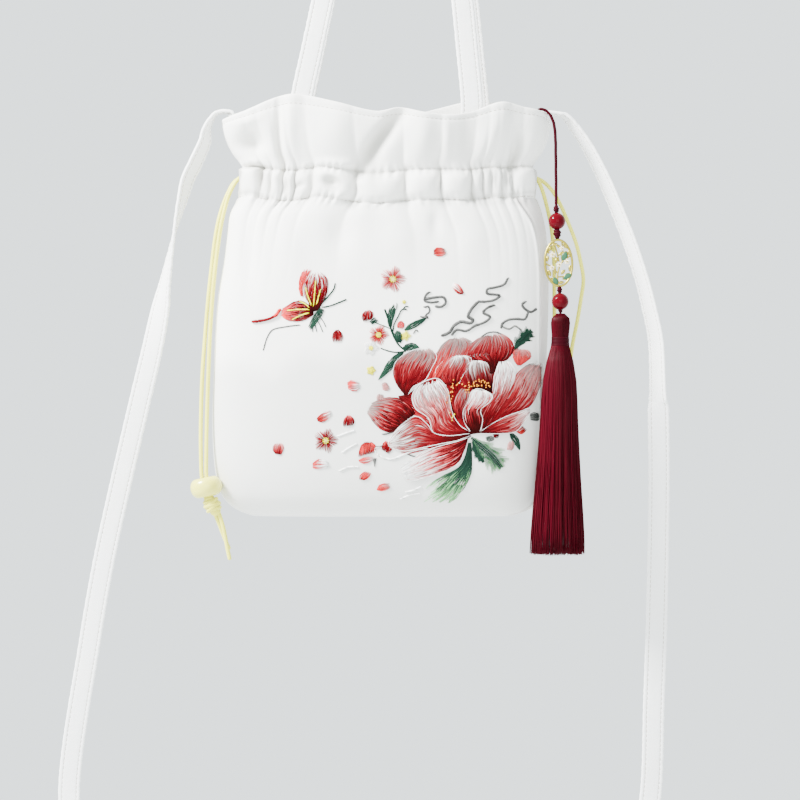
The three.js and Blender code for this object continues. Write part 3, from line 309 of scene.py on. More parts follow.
# Threads of the pendant: name, start and end, and their knots as drop and radius
PENDANT_THREADS = (
    ("upper", 0.1, 20.0, ((3.0, 1.9), (17.3, 2.5))),
    ("lower", 49.9, 64.5, ((51.2, 1.7), (63.2, 1.5))),
)

# On the charm, in shares of half its width and height: branches, then blossoms with their size,
# sprays and leaves with their length and turn
CHARM_BRANCHES = (
    ((-0.15, -0.98), (-0.1, -0.5), (0.05, -0.1), (-0.05, 0.35), (-0.3, 0.92)),
    ((-0.08, -0.45), (-0.45, -0.2), (-0.95, 0.0)),
    ((0.05, -0.1), (0.4, 0.1), (0.9, 0.3)),
    ((0.0, 0.15), (-0.4, 0.35), (-0.85, 0.5)),
    ((-0.1, -0.6), (0.35, -0.6), (0.75, -0.62)),
    ((0.4, 0.1), (0.35, 0.5), (0.3, 0.92)),
)
CHARM_BLOSSOMS = (
    (-0.42, 0.36, 0.2), (0.05, -0.08, 0.18), (0.62, 0.04, 0.19), (-0.5, -0.2, 0.17),
    (0.28, 0.62, 0.16),
)
CHARM_SPRAYS = (
    (-0.6, 0.62, 4.4, 60), (-0.25, 0.8, 4.0, 20), (0.05, 0.72, 3.8, -40), (0.55, 0.72, 4.2, -50),
    (-0.8, 0.2, 3.8, 80), (-0.7, -0.42, 4.4, -70), (-0.5, -0.72, 3.8, -40), (0.1, -0.85, 4.2, 10),
    (0.3, -0.4, 4.0, 50), (0.82, -0.25, 4.2, 85), (-0.15, 0.1, 3.6, 70), (0.2, 0.4, 3.8, 40),
    (-0.3, -0.35, 3.8, 100), (0.8, 0.42, 3.8, 100),
)
CHARM_LEAVES = ((0.45, 0.27, 0.42, 70), (0.6, -0.6, 0.4, 30), (-0.28, -0.78, 0.36, -60))

# What a size of one means on the charm, in millimetres: a blossom's heart, then the length and
# width of its petal, of a leaf's gold bed and of a leaf
CHARM_HEART, CHARM_PETAL, CHARM_BED, CHARM_LEAF = 6.0, (10.0, 7.5), (17.0, 10.5), (14.0, 8.4)
PETALS = 5

# Outline of the tassel's head and skirt: share of the height, share of the radius
TASSEL_HEAD = (
    (0.0, 0.25), (0.06, 0.72), (0.2, 0.96), (0.38, 1.0), (0.55, 0.94), (0.82, 0.88),
)
TASSEL_SKIRT = (
    (0.0, 0.31), (0.06, 0.44), (0.17, 0.59), (0.4, 0.69), (0.62, 0.8), (0.84, 0.93), (1.0, 1.0),
)
TASSEL_HEAD_DIAMETER, TASSEL_HEAD_HEIGHT = 11.0, 19.5
TASSEL_SKIRT_DIAMETER, TASSEL_SKIRT_HEIGHT = 33.0, 124.0
TASSEL_FLATNESS = 0.86

# Locks round the skirt, its core's share of the radius, rows of points on a strand and how far
# a strand starts inside the head, then the threads over the head and the turns round its neck
TASSEL_LOCKS, CORE_SHARE, STRAND_ROWS, STRAND_LAP = 16, 0.86, 12, 1.5
HEAD_THREADS, HEAD_ROWS, NECK_TURNS, NECK_WIRE = 170, 9, 6, 0.45

# Ends of a thread as a share of its width, and how deep its foot lies as a share of its height
THREAD_TIP, THREAD_FOOT = 0.45, 0.35

# Stitches of a filled patch: how far they lap as a share of the patch, how much their dye wanders
# and their shade varies, and the least and most width and height. Then a stem stitch's step
STITCH_LAP, DYE_WANDER, SHADE_SPREAD = 0.03, 0.14, 0.2
SILK_WIDTHS, SILK_HEIGHTS = (0.26, 1.0), (0.14, 0.26)
STEM_STEP = 1.1

# The embroidery's drawing grid: its step, the column on the purse's middle, the level of its top
GRID_STEP, GRID_RIGHT, GRID_UP = 0.6, 393.0, -85.2

# The stage, in metres: camera, floor, room, and lamps with their place, power and size
CAMERA_PLACE, CAMERA_LENS, CAMERA_SENSOR = (0.0042, -2.0, -0.3252), 150.0, 36.0
FLOOR_RADIUS, FLOOR_HEIGHT = 1.15, -0.72
ROOM_COLOUR, ROOM_LIGHT = (0.76, 0.825, 0.845), 2.6
LAMP_TARGET = (0, 0, -0.3)
LAMPS = (
    ("window", (-1.1, -0.55, 0.75), 190, 0.45),
    ("fill", (0.3, -2.2, -0.1), 22, 1.4),
)

# Shown brightness in sRGB, and the share of the room's light that gives it
SHOWN = (0.0, 0.1, 0.2, 0.34, 0.46, 0.59, 0.70, 0.80, 0.86, 0.90, 0.94, 1.0)
GIVEN = (0.0, 0.002, 0.007, 0.018, 0.034, 0.065, 0.11, 0.24, 0.40, 0.58, 0.80, 0.95)

# Thread colours, in sRGB
DYES = {
    "deep": (0.42, 0.01, 0.06), "crimson": (0.71, 0.08, 0.15), "rose": (0.83, 0.34, 0.38),
    "pink": (0.90, 0.58, 0.60), "pale": (0.89, 0.79, 0.78), "grey": (0.80, 0.75, 0.74),
    "white": (0.98, 0.98, 0.97), "coral": (0.90, 0.42, 0.42), "forest": (0.22, 0.41, 0.34),
    "leaf": (0.36, 0.56, 0.47), "mist": (0.80, 0.89, 0.79), "smoke": (0.63, 0.63, 0.62),
    "ash": (0.74, 0.74, 0.73), "gold": (0.92, 0.80, 0.40), "yellow": (0.93, 0.92, 0.10),
    "cream": (0.96, 0.94, 0.55), "ink": (0.30, 0.02, 0.06),
}

# Petals of the large flower, from the back to the front, on the drawing grid. Each has its lift,
# its dyes from base to tip, its left edge and its right edge, both from base to tip, and whether
# a cord of white thread is laid round it.
PEONY_PETALS = (
    (-0.3, "deep deep crimson crimson rose",
     ((468, 434), (445, 434), (430, 420), (424, 400), (428, 384), (446, 366)),
     ((482, 432), (500, 412), (507, 392), (501, 372), (486, 364), (466, 362)), False),
    (-0.3, "deep crimson crimson rose pale",
     ((470, 436), (450, 446), (428, 449), (408, 453), (400, 452)),
     ((468, 431), (446, 431), (428, 420), (412, 416), (402, 428)), False),
    (-0.3, "deep crimson rose",
     ((398, 396), (402, 404), (412, 414), (428, 420)),
     ((410, 394), (424, 382), (438, 376), (452, 372)), False),
    (0.0, "crimson coral rose grey grey",
     ((424, 383), (429, 372), (434, 358), (441, 346), (450, 339)),
     ((455, 374), (463, 364), (470, 352), (471, 343), (462, 338)), False),
    (0.1, "deep deep crimson rose grey",
     ((487, 374), (486, 364), (470, 361), (459, 358), (468, 346), (480, 337)),
     ((492, 374), (499, 365), (509, 357), (513, 348), (509, 340), (500, 334)), False),
    (0.1, "rose coral pale",
     ((516, 366), (512, 360), (511, 354), (514, 349)),
     ((519, 366), (526, 361), (531, 356), (526, 350)), False),
    (0.2, "deep deep crimson crimson rose grey grey",
     ((404, 395), (397, 386), (393, 375), (395, 364), (403, 356), (413, 351)),
     ((408, 395), (413, 387), (424, 381), (431, 369), (436, 357), (429, 349)), True),
    (0.2, "deep deep crimson rose grey grey",
     ((398, 432), (390, 432), (381, 429), (374, 422), (367, 412)),
     ((415, 413), (409, 404), (398, 398), (384, 398), (372, 403)), False),
    (0.3, "deep crimson rose grey white",
     ((446, 386), (436, 380), (435, 371), (442, 362), (452, 356)),
     ((458, 384), (463, 374), (469, 366), (470, 359), (461, 356)), True),
    (0.4, "ink deep crimson grey white",
     ((474, 394), (466, 385), (463, 374), (465, 365), (471, 361)),
     ((491, 393), (492, 380), (489, 370), (486, 363), (480, 361)), False),
    (0.4, "deep crimson crimson rose pale grey",
     ((478, 431), (489, 419), (499, 404), (508, 388), (515, 373), (530, 363)),
     ((484, 430), (498, 421), (514, 415), (529, 406), (538, 388), (542, 364)), True),
    (0.7, "deep crimson crimson rose pale white white",
     ((476, 430), (478, 416), (483, 404), (490, 394), (492, 380), (497, 362)),
     ((484, 428), (494, 415), (504, 400), (512, 384), (514, 371), (507, 361)), False),
    (0.8, "deep crimson crimson rose pale grey white",
     ((467, 433), (446, 436), (433, 432), (428, 418), (415, 408), (412, 396), (419, 385)),
     ((468, 431), (459, 425), (452, 414), (449, 402), (447, 391), (437, 379)), True),
    (0.9, "deep deep crimson crimson rose grey white",
     ((469, 435), (455, 440), (440, 443), (421, 447), (403, 450), (389, 445)),
     ((468, 433), (446, 435), (433, 432), (427, 424), (416, 416), (402, 424), (389, 440)), True),
    (1.0, "deep crimson pink white white",
     ((467, 437), (455, 441), (440, 445), (425, 450), (411, 459), (400, 467)),
     ((464, 448), (459, 460), (450, 467), (437, 472), (422, 477), (405, 479)), True),
    (1.0, "deep crimson rose pale white",
     ((479, 431), (491, 423), (505, 416), (519, 411), (528, 408)),
     ((480, 433), (499, 433), (514, 431), (523, 421), (528, 413)), True),
    (1.1, "crimson crimson deep rose grey",
     ((466, 430), (457, 421), (453, 409), (455, 397), (461, 388)),
     ((468, 431), (464, 422), (463, 411), (468, 402), (468, 391)), False),
    (1.3, "deep deep crimson pink white white",
     ((469, 431), (463, 422), (462, 410), (467, 401), (470, 392), (476, 389)),
     ((479, 430), (481, 419), (479, 410), (488, 402), (491, 396), (484, 391)), True),
)

# Feathers of the leaves: dyes, left edge, right edge
LEAF_BLADES = (
    ("forest forest leaf mist",
     ((467, 442), (464, 455), (458, 466), (445, 473), (433, 480), (424, 488)),
     ((470, 442), (471, 459), (470, 473), (464, 486), (459, 493)), 0.35),
    ("leaf mist mist", ((445, 481), (432, 490), (416, 500)), ((462, 484), (458, 494), (447, 503)), 0.8),
    ("forest leaf", ((508, 433), (509, 438), (518, 450)), ((512, 433), (518, 439), (519, 449)), 0.05),
    ("forest leaf", ((401, 352), (391, 359), (384, 369), (378, 381)),
     ((404, 353), (398, 363), (390, 372), (380, 380)), 0.05),
    ("forest leaf", ((402, 349), (408, 344), (414, 344), (419, 348)),
     ((402, 350), (408, 352), (414, 351), (419, 349)), 0.05),
    ("leaf forest", ((404, 331), (410, 324), (418, 321), (426, 319)),
     ((405, 332), (412, 330), (420, 326), (426, 320)), 0.05),
    ("forest leaf", ((389, 328), (387, 318), (390, 309), (393, 303)),
     ((392, 328), (394, 318), (397, 310), (397, 304)), 0.3),
    ("forest leaf", ((397, 343), (394, 337), (397, 331)), ((401, 344), (403, 338), (400, 332)), 0.1),
    ("smoke forest", ((528, 414), (534, 412), (541, 416)), ((529, 420), (535, 421), (541, 419)), 0.1),
    ("forest ash", ((484, 437), (488, 435), (493, 437)), ((485, 440), (489, 441), (493, 439)), 0.1),
    ("smoke ash", ((373, 457), (374, 461), (375, 466)), ((377, 457), (376, 461), (375, 466)), 0.1),
)

# Pinnate leaves: dyes, midrib and how long the barbs are at its middle
LEAF_FRONDS = (
    ("forest leaf mist", ((470, 437), (480, 446), (490, 455), (499, 466)), 13.0),
    ("forest leaf", ((513, 352), (517, 344), (523, 338), (530, 332)), 8.0),
    ("forest leaf", ((471, 440), (475, 450), (482, 461)), 5.0),
)

# Stems, scrolls and other single lines: dye, width, and the points of the line
LINES = (
    ("forest", 1.5, ((406, 352), (398, 345), (392, 333), (389, 322), (385, 311))),
    ("forest", 1.1, ((393, 334), (394, 326), (398, 318), (402, 311), (407, 311))),
    ("forest", 1.0, ((403, 311), (405, 308), (408, 308))),
    ("forest", 1.0, ((406, 352), (395, 353), (386, 351), (381, 349))),
    ("leaf", 0.8, ((391, 330), (384, 327), (376, 324))),
    ("leaf", 0.8, ((398, 345), (396, 338), (393, 333))),
    ("smoke", 0.7, ((413, 335), (416, 331), (418, 333))),
    ("smoke", 1.3, ((430, 293), (426, 296), (424, 302), (430, 304), (438, 303))),
    ("smoke", 1.6, ((424, 301), (434, 299), (443, 299), (445, 304), (441, 308), (435, 308))),
    ("smoke", 1.1, ((423, 309), (428, 308), (429, 313), (425, 317), (428, 319), (420, 318))),
    ("smoke", 1.5, ((507, 279), (503, 286), (494, 289), (486, 291), (486, 295), (494, 296),
                    (499, 297), (494, 301), (485, 303), (477, 303))),
    ("smoke", 2.0, ((477, 303), (470, 311), (467, 318), (472, 321), (470, 324), (460, 323),
                    (453, 327), (449, 333), (441, 337))),
    ("smoke", 1.5, ((494, 306), (485, 310), (482, 314), (489, 318), (484, 323), (474, 327),
                    (465, 332), (456, 331), (451, 336))),
    ("smoke", 1.5, ((525, 302), (521, 306), (525, 311), (530, 313), (535, 310))),
    ("smoke", 1.5, ((527, 313), (524, 320), (516, 320), (507, 321), (501, 325), (500, 329))),
    ("ash", 1.0, ((501, 328), (508, 330), (514, 327), (520, 331))),
    ("smoke", 0.7, ((302, 326), (286, 328), (274, 331), (269, 338), (265, 351))),
    ("forest", 1.2, ((322, 306), (330, 297), (335, 290), (336, 285))),
    ("forest", 1.2, ((323, 309), (332, 307), (340, 304), (347, 301))),
    ("forest", 0.7, ((318, 320), (321, 326), (324, 333))),
    ("forest", 0.7, ((320, 317), (324, 322), (327, 328))),
    ("forest", 0.7, ((316, 323), (317, 328), (318, 333))),
    ("forest", 0.7, ((313, 325), (314, 329), (314, 333))),
    ("coral", 2.6, ((282, 310), (279, 315), (276, 318))),
    ("crimson", 2.2, ((279, 316), (271, 320), (262, 322), (254, 323))),
    ("gold", 1.0, ((315, 308), (316, 295), (317, 283))),
    ("gold", 1.0, ((313, 307), (309, 297), (307, 289))),
    ("gold", 1.0, ((318, 306), (320, 298), (322, 291))),
    ("gold", 1.0, ((311, 311), (300, 311), (289, 312))),
    ("gold", 1.0, ((311, 314), (302, 317), (294, 321))),
    ("gold", 1.0, ((311, 309), (306, 305), (301, 303))),
    ("white", 1.6, ((428, 447), (413, 450), (403, 454), (393, 458), (384, 457), (377, 453))),
    ("white", 1.0, ((377, 453), (375, 448), (381, 446))),
    ("white", 1.5, ((400, 498), (409, 494), (420, 492))),
    ("white", 1.5, ((405, 491), (413, 489), (421, 485))),
    ("white", 1.5, ((343, 452), (350, 447), (358, 443))),
    ("white", 1.5, ((340, 470), (350, 466), (359, 466))),
    ("white", 1.5, ((338, 436), (346, 433), (355, 430))),
    ("smoke", 0.7, ((405, 452), (412, 455), (418, 456))),
    ("smoke", 0.8, ((382, 434), (388, 433), (394, 431))),
    ("smoke", 0.8, ((376, 446), (380, 446), (383, 445))),
    ("smoke", 0.8, ((480, 338), (486, 334), (494, 333), (500, 335))),
)

# Wings, buds and fallen petals: lift, dyes, left edge, right edge
SMALL_PATCHES = (
    (0.1, "coral coral pink", ((302, 298), (300, 288), (302, 277), (305, 271)),
     ((305, 298), (304, 289), (309, 279), (313, 271))),
    (0.2, "ink deep crimson crimson rose white",
     ((315, 313), (309, 303), (305, 293), (307, 282), (312, 275)),
     ((319, 312), (326, 301), (329, 290), (328, 280), (322, 273))),
    (0.2, "ink deep crimson rose pink coral",
     ((315, 311), (307, 304), (298, 302), (289, 307), (282, 311)),
     ((315, 316), (307, 321), (297, 323), (288, 321), (282, 317))),
    (0.4, "forest leaf", ((321, 309), (314, 318), (309, 330)), ((326, 311), (320, 322), (312, 332))),
    (0.1, "crimson coral pale", ((433, 252), (438, 249), (445, 251)),
     ((433, 257), (440, 259), (446, 256))),
    (0.1, "crimson coral white", ((463, 294), (458, 286), (452, 284)),
     ((462, 296), (456, 295), (451, 289))),
    (0.1, "rose crimson crimson", ((334, 343), (333, 336), (337, 331)),
     ((343, 342), (344, 336), (339, 330))),
    (0.1, "coral pink white", ((348, 383), (353, 380), (360, 383)),
     ((349, 389), (355, 392), (361, 388))),
    (0.1, "crimson coral white", ((318, 418), (322, 413), (332, 410)),
     ((319, 421), (325, 422), (333, 415))),
    (0.1, "crimson crimson pink", ((344, 426), (344, 420), (348, 415)),
     ((354, 425), (356, 420), (351, 415))),
    (0.1, "crimson rose pale", ((277, 453), (274, 448), (277, 442)),
     ((283, 454), (286, 448), (284, 442))),
    (0.1, "coral pink white white", ((314, 462), (320, 458), (330, 461)),
     ((314, 467), (320, 468), (331, 466))),
    (0.1, "crimson coral pink", ((360, 478), (361, 473), (366, 470)),
     ((365, 479), (370, 476), (372, 471))),
    (0.1, "coral coral pale", ((377, 488), (380, 483), (390, 482)),
     ((378, 489), (384, 490), (391, 487))),
    (0.1, "crimson coral crimson", ((359, 456), (360, 447), (366, 441)),
     ((374, 452), (377, 446), (372, 441))),
    (0.2, "coral pink white", ((359, 459), (366, 456), (375, 456)),
     ((360, 461), (367, 463), (374, 459))),
    (0.1, "crimson crimson coral", ((382, 449), (383, 443), (386, 440)),
     ((389, 453), (393, 447), (390, 441))),
    (0.1, "crimson crimson rose", ((364, 323), (362, 317), (366, 312)),
     ((372, 321), (374, 315), (370, 311))),
    (0.1, "coral pink rose", ((397, 329), (397, 325), (400, 322)),
     ((403, 330), (405, 326), (402, 322))),
    (0.2, "forest forest", ((370, 323), (373, 320), (376, 318)), ((372, 326), (376, 324), (379, 322))),
    (0.0, "pale pale", ((382, 385), (384, 383), (387, 383)), ((383, 390), (387, 391), (391, 389))),
    (0.0, "pale grey", ((377, 400), (377, 396), (380, 394)), ((384, 401), (384, 397), (383, 394))),
    (0.0, "pale pale", ((505, 449), (506, 444), (508, 440)), ((510, 450), (513, 446), (512, 441))),
    (0.0, "coral crimson", ((513, 430), (518, 428), (521, 425)), ((518, 434), (523, 433), (526, 429))),
    (0.0, "crimson deep", ((491, 433), (494, 432), (497, 433)), ((492, 436), (495, 438), (498, 435))),
)

# Blossoms of rays round a knotted middle: right, down, radius, rays, inner dye, outer dye, middle
BLOSSOMS = (
    (393, 281, 14.0, 76, "crimson", "pink", "yellow"),
    (379, 336, 11.0, 60, "crimson", "coral", "yellow"),
    (371.5, 349, 8.5, 48, "white", "white", "yellow"),
    (371.5, 371, 5.2, 60, "yellow", "yellow", "yellow"),
    (404, 303.5, 2.6, 20, "yellow", "yellow", "yellow"),
    (405.5, 337, 6.0, 36, "yellow", "cream", "yellow"),
    (327, 440, 13.0, 76, "deep", "rose", "yellow"),
)

# Stamens as runs of small knots: dye, knot radius, and the points of the run
STAMENS = (
    ("gold", 0.42, ((458, 382), (453, 386), (451, 392), (449, 398), (446, 401))),
    ("gold", 0.42, ((462, 383), (464, 388), (466, 392))),
    ("gold", 0.42, ((454, 381), (450, 388), (447, 396))),
    ("gold", 0.42, ((465, 389), (471, 386), (477, 383), (484, 384), (489, 387))),
    ("gold", 0.42, ((467, 385), (473, 383), (480, 381), (487, 383))),
    ("gold", 0.42, ((466, 392), (470, 388), (476, 386), (483, 388))),
    ("yellow", 0.5, ((450, 413), (452, 417), (450, 420))),
)


def along(keys, values, places):
    """Smooth values at places between the rows of a table."""
    keys, values, places = (np.asarray(a, float) for a in (keys, values, places))
    last = len(keys) - 1
    ahead = np.minimum(np.arange(last + 1) + 1, last)
    behind = np.maximum(np.arange(last + 1) - 1, 0)
    slopes = (values[ahead] - values[behind]) / (keys[ahead] - keys[behind])
    row = np.clip(np.searchsorted(keys, places) - 1, 0, last - 1)
    span = keys[row + 1] - keys[row]
    t = np.clip((places - keys[row]) / span, 0.0, 1.0)
    square, cube = t * t, t * t * t
    value = values[row] * (2 * cube - 3 * square + 1) + values[row + 1] * (3 * square - 2 * cube)
    slope = slopes[row] * (cube - 2 * square + t) + slopes[row + 1] * (cube - square)
    return value + span * slope


def unit(vectors):
    """Vectors with their length made one."""
    return vectors / np.maximum(np.linalg.norm(vectors, axis=-1, keepdims=True), 1e-12)


def ramp(start, stop, values):
    """A smooth step from nought to one between two values."""
    t = np.clip((values - start) / (stop - start), 0, 1)
    return t * t * (3 - 2 * t)


def bell(distance, reach):
    """A smooth bump, one at its middle and small past its reach."""
    return np.exp(-((distance / reach) ** 2))


def powered(values, power):
    """Values raised to a power, with their signs kept."""
    return np.sign(values) * np.abs(values) ** power


def distance_along(path):
    """How far each point of a path lies from its start."""
    return np.concatenate(([0], np.cumsum(np.linalg.norm(np.diff(path, axis=0), axis=1))))


def read_along(places, keys, table):
    """Rows of a table at places between its keys."""
    return np.stack([np.interp(places, keys, column) for column in np.asarray(table).T], axis=-1)


def grid_place(right, down):
    """Where a place on the embroidery's drawing grid lies: x and z in millimetres."""
    return (right - GRID_RIGHT) * GRID_STEP, GRID_UP - down * GRID_STEP


def levels_table():
    """The pouch's sections by height: level, half width, half depth, centre, corner, gather."""
    zones = (
        (BODY_SECTIONS, BASE_Z, BODY_HEIGHT, BODY_WIDTH, BODY_DEPTH),
        (CASING_SECTIONS, CASING_BOTTOM_Z, CASING_HEIGHT, CASING_WIDTH, CASING_DEPTH),
        (FRILL_SECTIONS, CASING_TOP_Z, FRILL_HEIGHT, RIM_WIDTH, RIM_DEPTH),
    )
    rows = []
    for sections, foot, height, width, depth in zones:
        for at, wide, deep, centre, corner, gather in sections:
            rows.append((foot + at * height, wide * width / 2, deep * depth / 2,
                         centre * width, corner, gather))
    return np.array(rows).T


LEVELS = levels_table()
ROLL_CREASES, ROLL_FULL = np.array(ROLLS).T
RIM_KEYS, RIM_RISES = np.array(RIM_LINE).T
SAG_KEYS, SAG_RISES = np.array(CASING_SAG).T
SEAM_KEYS, SEAM_PLACES = np.array(SIDE_SEAM).T


def section_at(level):
    """Half width, half depth, centre, corner and gather of the pouch at a level."""
    return [along(LEVELS[0], column, level) for column in LEVELS[1:]]


def across_at(x, level, limit=1.0):
    """Where a place on the front lies between the sides, from minus one to one."""
    half_width, _, centre, corner, _ = section_at(level)
    return powered(np.clip((x - centre) / half_width, -limit, limit), corner / 2)


def roll_at(across):
    """How far a roll of the casing stands out."""
    roll = np.clip(np.searchsorted(ROLL_CREASES, across, side="right") - 1, 0, len(ROLLS) - 2)
    width = ROLL_CREASES[roll + 1] - ROLL_CREASES[roll]
    t = (across - ROLL_CREASES[roll]) / width
    return ROLL_FULL[roll] * np.clip(1 - np.abs(2 * t - 1) ** ROLL_SIDES, 0, 1) ** ROLL_TOP


def fold_at(across, share):
    """How far the frill's folds push the cloth out."""
    push = np.zeros_like(across)
    for foot, rim, width, height, low, high in FRILL_FOLDS:
        inside = (share > low) & (share < high)
        centre = foot + (rim - foot) * share
        rise = np.sin(np.pi * (share - low) / (high - low))
        push += np.where(inside, height * rise * bell(across - centre, width), 0)
    return push


def creases_at(across, level, front):
    """Puckers, ripples and grooves along the stitch lines, and a slow unevenness."""
    wave = np.sin(across * 93 + 2.2 * np.sin(across * 21 + 1)) + 0.6 * np.sin(across * 151 + 0.7)
    push = np.zeros_like(across)
    for line in (CASING_TOP_Z, CASING_BOTTOM_Z):
        push += PUCKER_HEIGHT * wave * bell(level - line, PUCKER_REACH)
        push -= STITCH_GROOVE * bell(level - line, STITCH_REACH)
    below = np.clip(CASING_BOTTOM_Z - level, 0, None)
    ripple = np.sin(across * 31 + 2.5 * np.sin(across * 9))
    push += RIPPLE_HEIGHT * ripple * np.exp(-below / RIPPLE_REACH) * (below > 0)
    push -= RIM_GROOVE * bell(level - RIM_SEAM_Z, RIM_REACH)
    past = across - along(SEAM_KEYS, SEAM_PLACES, level)
    for height, place, width in (SEAM_RIDGE, SEAM_GROOVE):
        push += height * front * (level < CASING_TOP_Z) * bell(past - place, width)
    push += SLOW_HEIGHT * np.sin(across * 7.3 + level / 17) * np.sin(level / 29 + across * 2)
    return push


def sag_at(across, level):
    """How far the casing's lines rise and sink between the rolls."""
    return along(SAG_KEYS, SAG_RISES, across) * bell(level - CASING_MIDDLE_Z, SAG_REACH)


def dents_at(x, level):
    """Push of the dents and swells that only the front has."""
    push = np.zeros_like(x)
    for right, down, reach, drop, height in DENTS:
        centre_x, centre_z = grid_place(right, down)
        push += DENT_DEPTH * height * (bell(x - centre_x, reach * GRID_STEP)
                                       * bell(level - centre_z, drop * GRID_STEP))
    return push


def cloth_points(angle, level, inset=0.0, follow=1.0):
    """Points of the pouch's cloth. angle runs from the left seam across the front."""
    angle, level = np.broadcast_arrays(np.asarray(angle, float), np.asarray(level, float))
    half_width, half_depth, centre, corner, gather = section_at(level)
    sine = np.sin(angle)
    across = -np.cos(angle)
    x, y = powered(across, 2 / corner), powered(-sine, 2 / corner)
    normal = unit(np.stack((powered(x, corner - 1) / half_width,
                            powered(y, corner - 1) / half_depth, np.zeros_like(x)), axis=-1))
    share = (level - CASING_TOP_Z) / FRILL_HEIGHT
    below = np.clip(CASING_BOTTOM_Z - level, 0, None)
    faded = GATHER_LEFT + (1 - GATHER_LEFT) * np.exp(-below / GATHER_FADE)
    front = ramp(-SIDE_BLEND, SIDE_BLEND, sine)
    push, rise = np.zeros_like(x), np.zeros_like(x)
    for place, share_of in ((across, front), (-across, 1 - front)):
        stand = GATHER_BULGE * gather * faded * (ROLL_OUT * roll_at(place) - CREASE_IN)
        stand += FOLD_DEPTH * fold_at(place, share) + creases_at(place, level, front)
        lift = FRILL_HEIGHT * along(RIM_KEYS, RIM_RISES, place) * np.maximum(share, 0) ** 2
        push += share_of * stand
        rise += share_of * (lift + sag_at(place, level))
    push += front * dents_at(centre + half_width * x, level)
    point = np.stack((
        centre + half_width * x,
        half_depth * y,
        level + rise + NECK_RISE * across * across * gather), axis=-1)
    return point + normal * (push * follow - inset)[..., None]


def front_points(x, z):
    """Points of the front's cloth under places of the pattern, and the cloth's normals there."""

    def points(x, z):
        return cloth_points(np.arccos(-across_at(x, z, 0.995)), z)

    aside = 0.4
    right = points(x + aside, z) - points(x - aside, z)
    up = points(x, z + aside) - points(x, z - aside)
    return points(x, z), unit(np.cross(right, up))


def smooth_path(points, parts):
    """Points along a smooth curve through the given ones, some parts to each span."""
    points = np.asarray(points, float)
    padded = np.vstack((2 * points[0] - points[1], points, 2 * points[-1] - points[-2]))
    t = np.linspace(0, 1, parts, endpoint=False)[:, None]
    runs = []
    for start in range(len(points) - 1):
        a, b, c, d = padded[start:start + 4]
        before, here, after = (np.sqrt(np.linalg.norm(q - p)) for p, q in ((a, b), (b, c), (c, d)))
        leave = here * ((b - a) / before - (c - a) / (before + here) + (c - b) / here)
        reach = here * ((c - b) / here - (d - b) / (here + after) + (d - c) / after)
        runs.append(b + leave * t + (3 * (c - b) - 2 * leave - reach) * t ** 2
                    + (2 * (b - c) + leave + reach) * t ** 3)
    return np.vstack((*runs, points[-1:]))


def even_path(points, count):
    """A path through points resampled to an even spacing."""
    path = smooth_path(points, 12)
    run = distance_along(path)
    return read_along(np.linspace(0, run[-1], count), run, path)


def cross_frames(path):
    """Tangents and two cross directions that turn as little as they can along a path."""
    tangents = unit(np.gradient(path, axis=0))
    side = np.cross(tangents[0], (0.0, 1.0, 0.0))
    if np.linalg.norm(side) < 0.2:
        side = np.cross(tangents[0], (1.0, 0.0, 0.0))
    sides = []
    for tangent in tangents:
        side = side - tangent * side.dot(tangent)
        side = side / np.linalg.norm(side)
        sides.append(side)
    sides = np.array(sides)
    return tangents, sides, np.cross(tangents, sides)


def add_object(name, data):
    """An object in the scene from a mesh, lamp or camera. A mesh is shaded smooth."""
    if isinstance(data, bpy.types.Mesh):
        for face in data.polygons:
            face.use_smooth = True
    made = bpy.data.objects.new(name, data)
    bpy.context.scene.collection.objects.link(made)
    return made


def finish_mesh(name, build):
    """An object from a bmesh that the build function fills, in metres."""
    mesh = bpy.data.meshes.new(name)
    shape = bmesh.new()
    build(shape)
    shape.to_mesh(mesh)
    shape.free()
    return add_object(name, mesh)


def mapped_grid(shape, columns, rows, place, caps=False):
    """A grid bent into shape. place gives a point in millimetres for shares along and round."""
    shape.loops.layers.uv.new("UVMap")
    made = bmesh.ops.create_grid(shape, x_segments=columns, y_segments=rows, size=0.5,
                                 calc_uvs=True)
    flat = np.array([vert.co[:2] for vert in made["verts"]]) + 0.5
    for vert, point in zip(made["verts"], place(flat[:, 0], flat[:, 1]) * MM):
        vert.co = point
    bmesh.ops.remove_doubles(shape, verts=shape.verts, dist=WELD)
    if caps:
        edges = [edge for edge in shape.edges if edge.is_boundary]
        bmesh.ops.holes_fill(shape, edges=edges, sides=0)
    bmesh.ops.recalc_face_normals(shape, faces=shape.faces)


def tube_piece(name, path, radius, sides, ridge=0.0, turns=0.0, parts=6):
    """A round cord along a path in millimetres, its ends rounded, with a slight twist of plies."""
    line = smooth_path(path, parts)
    tangents, side, other = cross_frames(line)
    count = len(line) - 1
    extra = 3

    def place(u, v):
        row = u * (count + 2 * extra) - extra
        index = np.clip(np.round(row), 0, count).astype(int)
        over = np.clip(np.maximum(-row, row - count), 0, extra) / extra
        angle = 2 * math.pi * v
        plies = 1 + ridge * np.cos(3 * angle + turns * index)
        size = radius * plies * np.sqrt(np.clip(1 - over ** 2, 0, 1))
        out = side[index] * np.cos(angle)[:, None] + other[index] * np.sin(angle)[:, None]
        ends = tangents[index] * (np.sign(row - count / 2) * over * radius)[:, None]
        return line[index] + out * size[:, None] + ends

    return finish_mesh(name, lambda shape: mapped_grid(shape, count + 2 * extra, sides, place))


